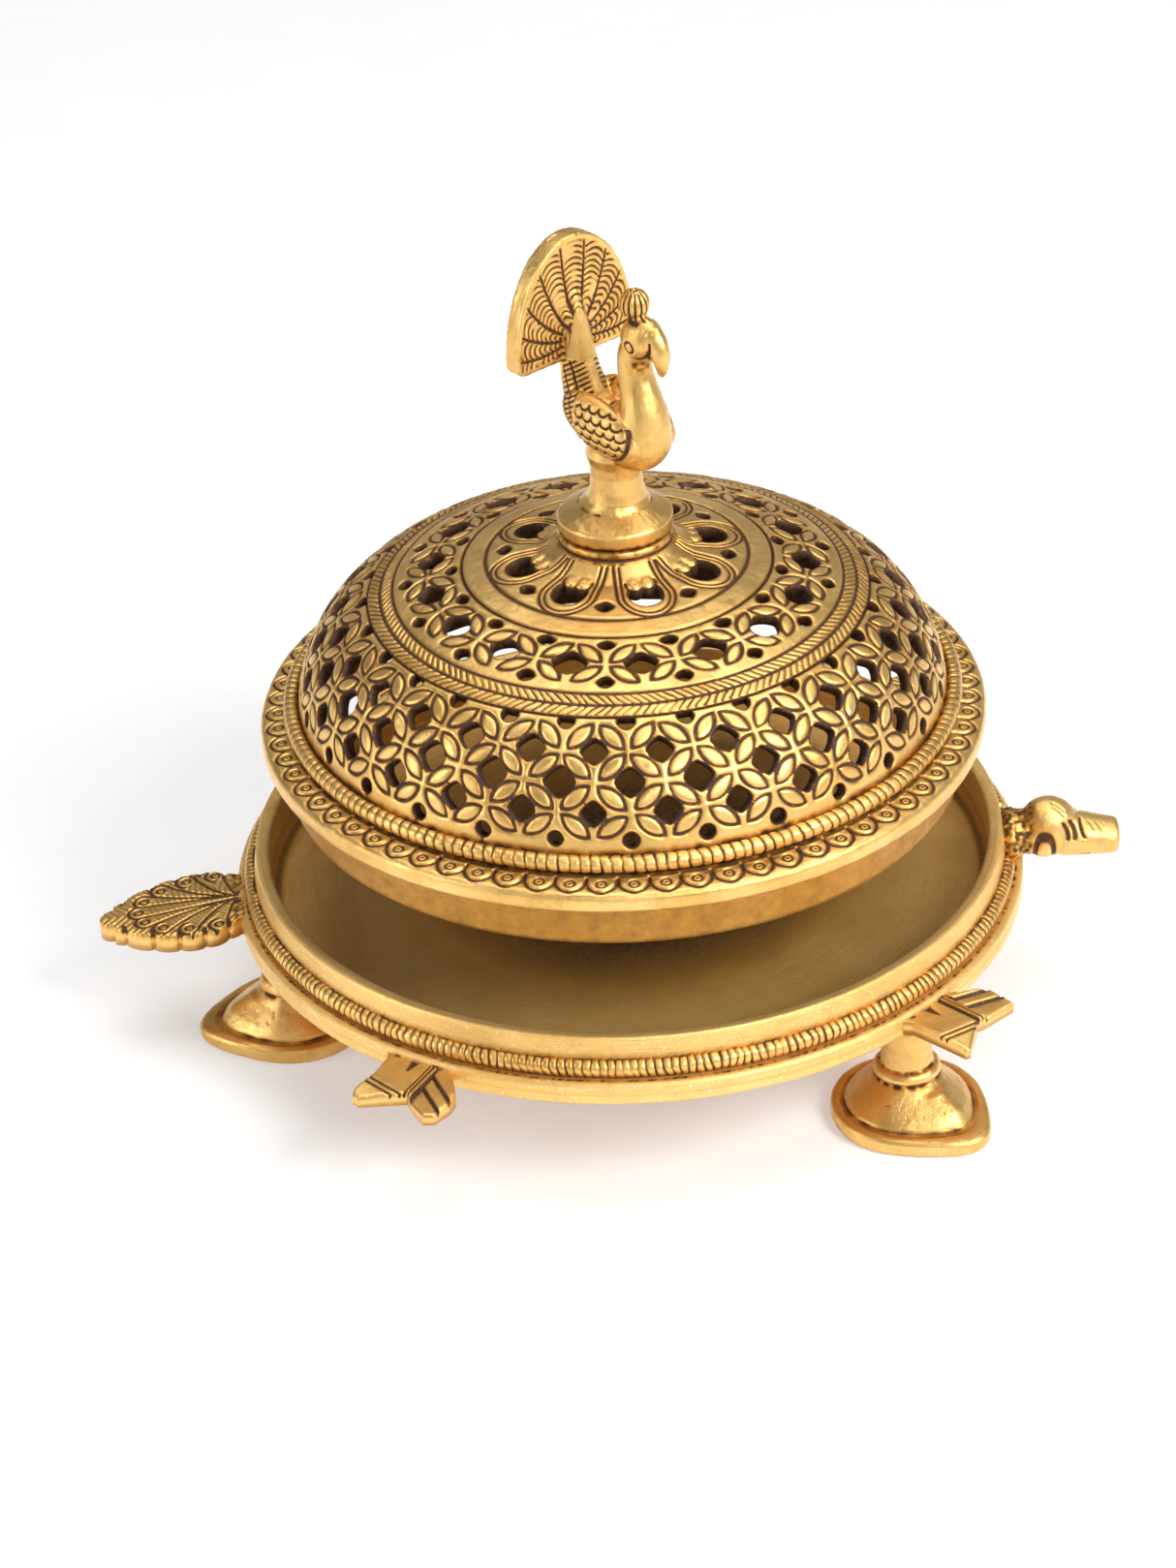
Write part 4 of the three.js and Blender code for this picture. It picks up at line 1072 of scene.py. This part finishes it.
def peacock():
    """The finial: a peacock with a spread fan on a turned stem and disc, in one casting."""
    points, normals, faces = fused(peacock_shapes(), VOXEL, smoothing=3)
    x, y, z = points.T
    side = np.abs(normals[:, 1])
    facing = normals[:, 0]
    front = (facing > 0.5) & (x < FAN_FRONT_X + 1.1) & (x > FAN_FRONT_X - 1.3) & (z > 33)
    behind = (facing < -0.5) & (z > 33) & (x < FAN_BACK_X + 1.7)
    on_fan = fan_relief(y, z, points) * (front + 0.8 * behind)
    on_wing = ramp(side, 0.25, 0.5) * (x < 13) * (x > -8.5) * (z > WING_LOW_Z) * (z < 31) * (np.abs(y) > 3.2)
    wing_shape = gauge(x - WING_X, z - WING_Z, 9.2, 5.9)
    wing = wing_relief(x, z) * on_wing * (x > -2.6) * (wing_shape < -0.4)
    ladder_on = (x < -3.0) * (x > -9.4) * (z > 19) * (z < 35)
    along = (z - 20) + 0.6 * (-x)
    across = x + 0.45 * (z - 20)
    rungs = np.maximum(line(np.mod(along, 1.15) - 0.57, 0.22), line(np.mod(across, 2.2) - 1.1, 0.26))
    ladder = 0.9 * rungs * ladder_on * ramp(side, 0.15, 0.4)
    wing_edge = line(wing_shape, 0.3) * on_wing * (x > 6) * (z < 27)
    eye_distance = np.hypot(x - EYE_X, z - EYE_Z)
    eye = (line(eye_distance - 1.2, 0.26) + 0.5 * line(eye_distance, 0.3)) * (side > 0.45)
    cheek = line(np.hypot(x - 10.9, z - 45.0) - 3.7, 0.3) * (side > 0.3) * (x > 11.2) * (z < 45.5)
    mouth = line(x - 13.7 - 0.3 * (z - 42), 0.26) * (z > 39.5) * (z < 43.6) * (side > 0.2)
    crest_turn = np.arctan2(y, x - CREST_X)
    crest = line(np.mod(crest_turn, TURN / 14) * 3 - 0.67, 0.24) * (z > 48.9) * (x > 3)
    crest_foot = 0.9 * line(z - 48.6, 0.4) * (x < 11.5) * (x > 3)
    stem_foot = line(z - 5.6, 0.4) * (0.25 + 0.6 * noise(points, 1.4)) * (np.hypot(x, y) < 7.6)
    disc_edge = (z < 0.8) * (0.3 + 0.35 * noise(points, 0.9))
    throat = line(np.hypot(x - 11.0, z - 39.4), 2.0) * (0.42 + 0.4 * noise(points, 0.8))
    saddle = line(x - 1.5, 4.5) * ramp(normals[:, 2], 0.2, 0.6) * (np.abs(y) < 4) * (z > 23) * (z < 31)
    saddle = saddle * (0.4 + 0.4 * noise(points, 0.8))
    # Painted shade on the downward faces under the body.
    under = line(z - 17.6, 1.2) * (normals[:, 2] < -0.2) * (0.4 + 0.35 * noise(points, 0.9))
    cut = np.maximum.reduce([on_fan, wing, ladder, wing_edge, eye, cheek, mouth, crest, crest_foot])
    strokes = 0.055 * noise(points * [1.5, 1.5, 0.35], 1.1)  # left by the file that finished the bird
    height = 0.8 * wobble(points) - 0.4 * cut + strokes
    points = points + normals * height[:, None]
    dirt_and_shade = np.maximum.reduce([cut, stem_foot, disc_edge, throat, saddle, under])
    points[:, 2] = np.maximum(points[:, 2], 0)
    points = turned_to(points, PEACOCK_HEADING, 0, FINIAL_Z)
    add_piece("peacock_cast", points, faces, dirt_and_shade, "finial", "peacock_finial")


# ---- materials ---------------------------------------------------------------------------------------------
class Nodes:
    """Short calls for building a material's node tree."""

    def __init__(self, name):
        self.material = bpy.data.materials.new(name)
        self.material.use_nodes = True
        self.tree = self.material.node_tree
        self.tree.nodes.clear()

    def add(self, kind, **values):
        node = self.tree.nodes.new(kind)
        inputs = values.pop("inputs", {})
        for key, value in values.items():
            setattr(node, key, value)
        for key, value in inputs.items():
            if isinstance(value, bpy.types.NodeSocket):
                self.tree.links.new(value, node.inputs[key])
            else:
                node.inputs[key].default_value = value
        return node

    def math(self, operation, a, b, clamp=False):
        inputs = {0: a, 1: b}
        return self.add("ShaderNodeMath", operation=operation, use_clamp=clamp, inputs=inputs).outputs[0]

    def noise(self, vector, scale, detail=4.0, roughness=0.6):
        values = {"Vector": vector, "Scale": scale, "Detail": detail, "Roughness": roughness}
        return self.add("ShaderNodeTexNoise", inputs=values).outputs["Fac"]

    def span(self, value, low, high, out_low=0.0, out_high=1.0):
        values = {"Value": value, "From Min": low, "From Max": high, "To Min": out_low, "To Max": out_high}
        return self.add("ShaderNodeMapRange", clamp=True, inputs=values).outputs["Result"]

    def mix(self, factor, a, b):
        node = self.add("ShaderNodeMix", data_type="RGBA", inputs={0: factor})
        for socket, value in ((node.inputs[6], a), (node.inputs[7], b)):
            if isinstance(value, bpy.types.NodeSocket):
                self.tree.links.new(value, socket)
            else:
                socket.default_value = (*value, 1)
        return node.outputs[2]


def scaled(colour, factors):
    return tuple(c * k for c, k in zip(colour, factors))


def metal(name, deep, bright, roughness, metallic, streaks, patina_and_shade=(0.030, 0.011, 0.004)):
    """Old metal: a polish that varies from deep to bright, tarnish, patina and painted shade where the
    dirt_and_shade attribute says, casting pits, and streaks round the dish's axis where it is turned."""
    n = Nodes(name)
    place = n.add("ShaderNodeTexCoord").outputs["Object"]
    dirt_and_shade = n.add("ShaderNodeAttribute", attribute_name="dirt_and_shade").outputs["Fac"]
    clouds = n.noise(place, 70, 3, 0.55)
    grain = n.noise(place, 900, 4, 0.65)
    fine = n.noise(place, 3800, 3, 0.7)
    pits = n.span(n.noise(place, 1500, 2, 0.5), 0.68, 0.74)
    centre = n.add("ShaderNodeVectorMath", operation="SUBTRACT",
                   inputs={0: place, 1: (AXIS[0] * MM, AXIS[1] * MM, 0)}).outputs[0]
    flat = n.add("ShaderNodeVectorMath", operation="MULTIPLY", inputs={0: centre, 1: (1, 1, 0)}).outputs[0]
    radius = n.add("ShaderNodeVectorMath", operation="LENGTH", inputs={0: flat}).outputs["Value"]
    height = n.add("ShaderNodeSeparateXYZ", inputs={0: place}).outputs["Z"]
    rings = n.add("ShaderNodeCombineXYZ", inputs={0: radius, 1: height, 2: 0.0}).outputs[0]
    slow = n.add("ShaderNodeVectorMath", operation="SCALE", inputs={0: place, "Scale": 0.012}).outputs[0]
    brush = n.noise(n.add("ShaderNodeVectorMath", operation="ADD", inputs={0: rings, 1: slow}).outputs[0],
                    2600, 3, 0.7)

    breakup = n.span(grain, 0.3, 0.7, 0.75, 1.25)
    grime_and_shade = n.math("MULTIPLY", n.span(dirt_and_shade, 0.36, 0.58), breakup, clamp=True)
    darkening = scaled(deep, (0.68, 0.54, 0.4))
    tarnish_and_shade = scaled(deep, (0.80, 0.60, 0.26))
    colour = n.mix(n.span(clouds, 0.3, 0.7), deep, bright)
    colour = n.mix(n.span(fine, 0.5, 0.75, 0, 0.2), colour, darkening)
    colour = n.mix(n.span(n.noise(place, 260, 5, 0.7), 0.5, 0.72, 0, 0.3), colour, darkening)
    arcs = n.math("MULTIPLY", n.span(brush, 0.5, 0.72), n.span(n.noise(place, 140, 2), 0.42, 0.62))
    colour = n.mix(n.math("MULTIPLY", arcs, 0.8 * streaks), colour, darkening)
    specks = n.math("MULTIPLY", n.span(n.noise(place, 1900, 1, 0.5), 0.7, 0.74), streaks, clamp=True)
    colour = n.mix(specks, colour, (1.0, 0.86, 0.6))
    colour = n.mix(n.math("MULTIPLY", n.span(dirt_and_shade, 0.08, 0.4), 0.85), colour, tarnish_and_shade)
    brown = n.mix(n.span(grain, 0.35, 0.65), patina_and_shade, scaled(patina_and_shade, (1.9, 1.9, 1.9)))
    colour = n.mix(grime_and_shade, colour, brown)
    colour = n.mix(n.math("MULTIPLY", pits, 0.3), colour, patina_and_shade)

    rough = n.math("ADD", n.span(grain, 0.25, 0.75, roughness - 0.07, roughness + 0.09),
                   n.math("MULTIPLY", grime_and_shade, 0.28))
    rough = n.math("ADD", rough, n.math("MULTIPLY", brush, 0.10 * streaks), clamp=True)
    skin = n.math("ADD", n.math("MULTIPLY", grain, 0.8), n.math("MULTIPLY", fine, 0.4))
    skin = n.math("MULTIPLY", skin, n.span(n.noise(place, 90, 2), 0.42, 0.62, 0.6, 1.9))
    skin = n.math("SUBTRACT", skin, n.math("MULTIPLY", pits, 0.5))
    skin = n.math("ADD", skin, n.math("MULTIPLY", brush, 1.3 * streaks))
    bump = n.add("ShaderNodeBump", inputs={"Height": skin, "Strength": 0.5, "Distance": 0.00021}).outputs[0]
    shader = n.add("ShaderNodeBsdfPrincipled", inputs={
        "Base Color": colour,
        "Metallic": n.span(grime_and_shade, 0.4, 1.0, metallic, 0.3),
        "Roughness": rough,
        "Normal": bump,
    })
    n.add("ShaderNodeOutputMaterial", inputs={"Surface": shader.outputs[0]})
    return n.material


CAST = metal("antique_gold_cast", (0.64, 0.38, 0.11), (0.84, 0.56, 0.20),
             roughness=0.35, metallic=0.88, streaks=0.0)
TURNED = metal("antique_gold_turned", (0.74, 0.46, 0.14), (0.86, 0.59, 0.22),
               roughness=0.38, metallic=0.7, streaks=1.0)
STEEL = metal("dull_steel", (0.30, 0.28, 0.25), (0.46, 0.44, 0.41),
              roughness=0.38, metallic=0.95, streaks=0.4, patina_and_shade=(0.04, 0.03, 0.025))


def carried_over():
    """The hidden fastenings keep their CAD shape and get a finish."""
    for name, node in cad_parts.items():
        if "_stud" in name or name in ("finial_washer", "finial_nut"):
            node.data.materials.clear()
            node.data.materials.append(STEEL if "_stud" in name else CAST)


# ---- stage -------------------------------------------------------------------------------------------------
def glowing(n, colour, strength):
    """A matt surface with a glow of its own."""
    matt = n.add("ShaderNodeBsdfDiffuse", inputs={"Color": colour}).outputs[0]
    glow = n.add("ShaderNodeEmission", inputs={"Strength": strength}).outputs[0]
    return n.add("ShaderNodeAddShader", inputs={0: matt, 1: glow}).outputs[0]


def floor():
    """A wide sheet of white paper."""
    mesh = bpy.data.meshes.new("floor")
    half = 6.0
    corners = [(-half, -half, 0), (half, -half, 0), (half, half, 0), (-half, half, 0)]
    mesh.from_pydata(corners, [], [(0, 1, 2, 3)])
    n = Nodes("white_paper")
    place = n.add("ShaderNodeTexCoord").outputs["Object"]
    tone = n.mix(n.span(n.noise(place, 40), 0.3, 0.7), (0.52, 0.52, 0.52), (0.54, 0.54, 0.54))
    lifted = glowing(n, tone, 0.38)
    reflected = glowing(n, (0.85, 0.85, 0.85, 1), 0.25)
    # The camera sees white paper with soft shadows; the metal sees brighter paper, as on a lit studio table.
    seen = n.add("ShaderNodeLightPath").outputs["Is Camera Ray"]
    surface = n.add("ShaderNodeMixShader", inputs={0: seen, 1: reflected, 2: lifted}).outputs[0]
    n.add("ShaderNodeOutputMaterial", inputs={"Surface": surface})
    mesh.materials.append(n.material)
    placed("floor", mesh)


def softbox(name, location, size, power, colour=(1, 1, 1)):
    """A soft rectangular light that faces the object's middle."""
    light = bpy.data.lights.new(name, "AREA")
    light.shape = "RECTANGLE"
    light.size, light.size_y = size
    light.energy = power
    light.color = colour
    obj = placed(name, light)
    obj.location = location
    obj.rotation_euler = (Vector((0, 0, 0.06)) - obj.location).to_track_quat("-Z", "Y").to_euler()


def lights():
    """Four soft boxes in a studio whose walls are pale and whose ceiling is dark."""
    softbox("overhead", (0.1, 0.25, 1.25), size=(1.3, 0.9), power=12)
    softbox("key_right", (0.9, -0.75, 1.0), size=(0.6, 0.6), power=24, colour=(1, 0.985, 0.96))
    softbox("fill_left", (-1.1, -0.35, 0.55), size=(0.4, 0.9), power=6)
    softbox("front", (0.1, -1.3, 0.95), size=(0.9, 0.4), power=4)
    world = bpy.data.worlds.new("studio")
    world.use_nodes = True
    tree = world.node_tree
    background = tree.nodes["Background"]
    background.inputs["Color"].default_value = (1, 1, 1, 1)
    direction = tree.nodes.new("ShaderNodeTexCoord").outputs["Generated"]
    up = tree.nodes.new("ShaderNodeSeparateXYZ")
    tree.links.new(direction, up.inputs[0])
    fade = tree.nodes.new("ShaderNodeMapRange")
    tree.links.new(up.outputs["Z"], fade.inputs["Value"])
    for name, value in {"From Min": 0.05, "From Max": 0.6, "To Min": 0.38, "To Max": 0.09}.items():
        fade.inputs[name].default_value = value
    tree.links.new(fade.outputs["Result"], background.inputs["Strength"])
    bpy.context.scene.world = world
    bpy.context.scene.view_settings.view_transform = "Standard"


def camera():
    """A long lens, 31.7 degrees above the horizon and tilted slightly."""
    elevation, roll = math.radians(31.69), math.radians(-2.70)
    distance = 900
    target = AXIS + [-7.92, 0, 46.6]
    back = np.array([0, -math.cos(elevation), math.sin(elevation)])
    data = bpy.data.cameras.new("camera")
    data.lens = 99.57
    data.sensor_width = 36
    data.clip_start, data.clip_end = 0.02, 50
    obj = placed("camera", data)
    obj.location = (target + distance * back) * MM
    straight = Vector(-back).to_track_quat("-Z", "Y")
    obj.rotation_euler = (straight.to_matrix() @ Euler((0, 0, roll)).to_matrix()).to_euler()
    bpy.context.scene.camera = obj


# ---- assembly ----------------------------------------------------------------------------------------------
crown_from, crown_to = run_at(PLAIN_R[1]), run_at(BAND_R[2])
dome_piece("lid_dome_rosette", DOME_RUN[0], crown_from, rosette_holes, rosette_relief,
           columns=ROSETTE_COUNT * 60, step=0.32)
dome_piece("lid_dome_crown", crown_from, crown_to, crown_holes, crown_relief,
           columns=CROWN_COUNT * 64, step=0.3)
dome_piece("lid_dome_shoulder", crown_to, DOME_RUN[-1], shoulder_holes, shoulder_relief,
           columns=SHOULDER_COUNT * 36, step=0.35)
lid_rim()
rope_ring("lid_rope_ring", "lid", ring_r=67.7, ring_z=LID_Z + 7.35, section_r=1.7, lean=38, pitch=2.1,
          ends=(0, 360), columns=1500)
dish()
rope_ring("dish_rope_ring", "dish", ring_r=WALL_FOOT_R + 0.3, ring_z=FLANGE_TOP_Z + 1.85, section_r=1.9,
          lean=0, pitch=1.55, ends=NECK_GAP, columns=1900)
tortoise_head()
plate_piece("tortoise_tail", tail_field, tail_relief, TAIL_AZIMUTH, FLANGE_TOP_Z,
            length=TAIL_LENGTH + 1, thickness=4.2, droop=5)
flippers()
feet()
peacock()
carried_over()
floor()
lights()
camera()
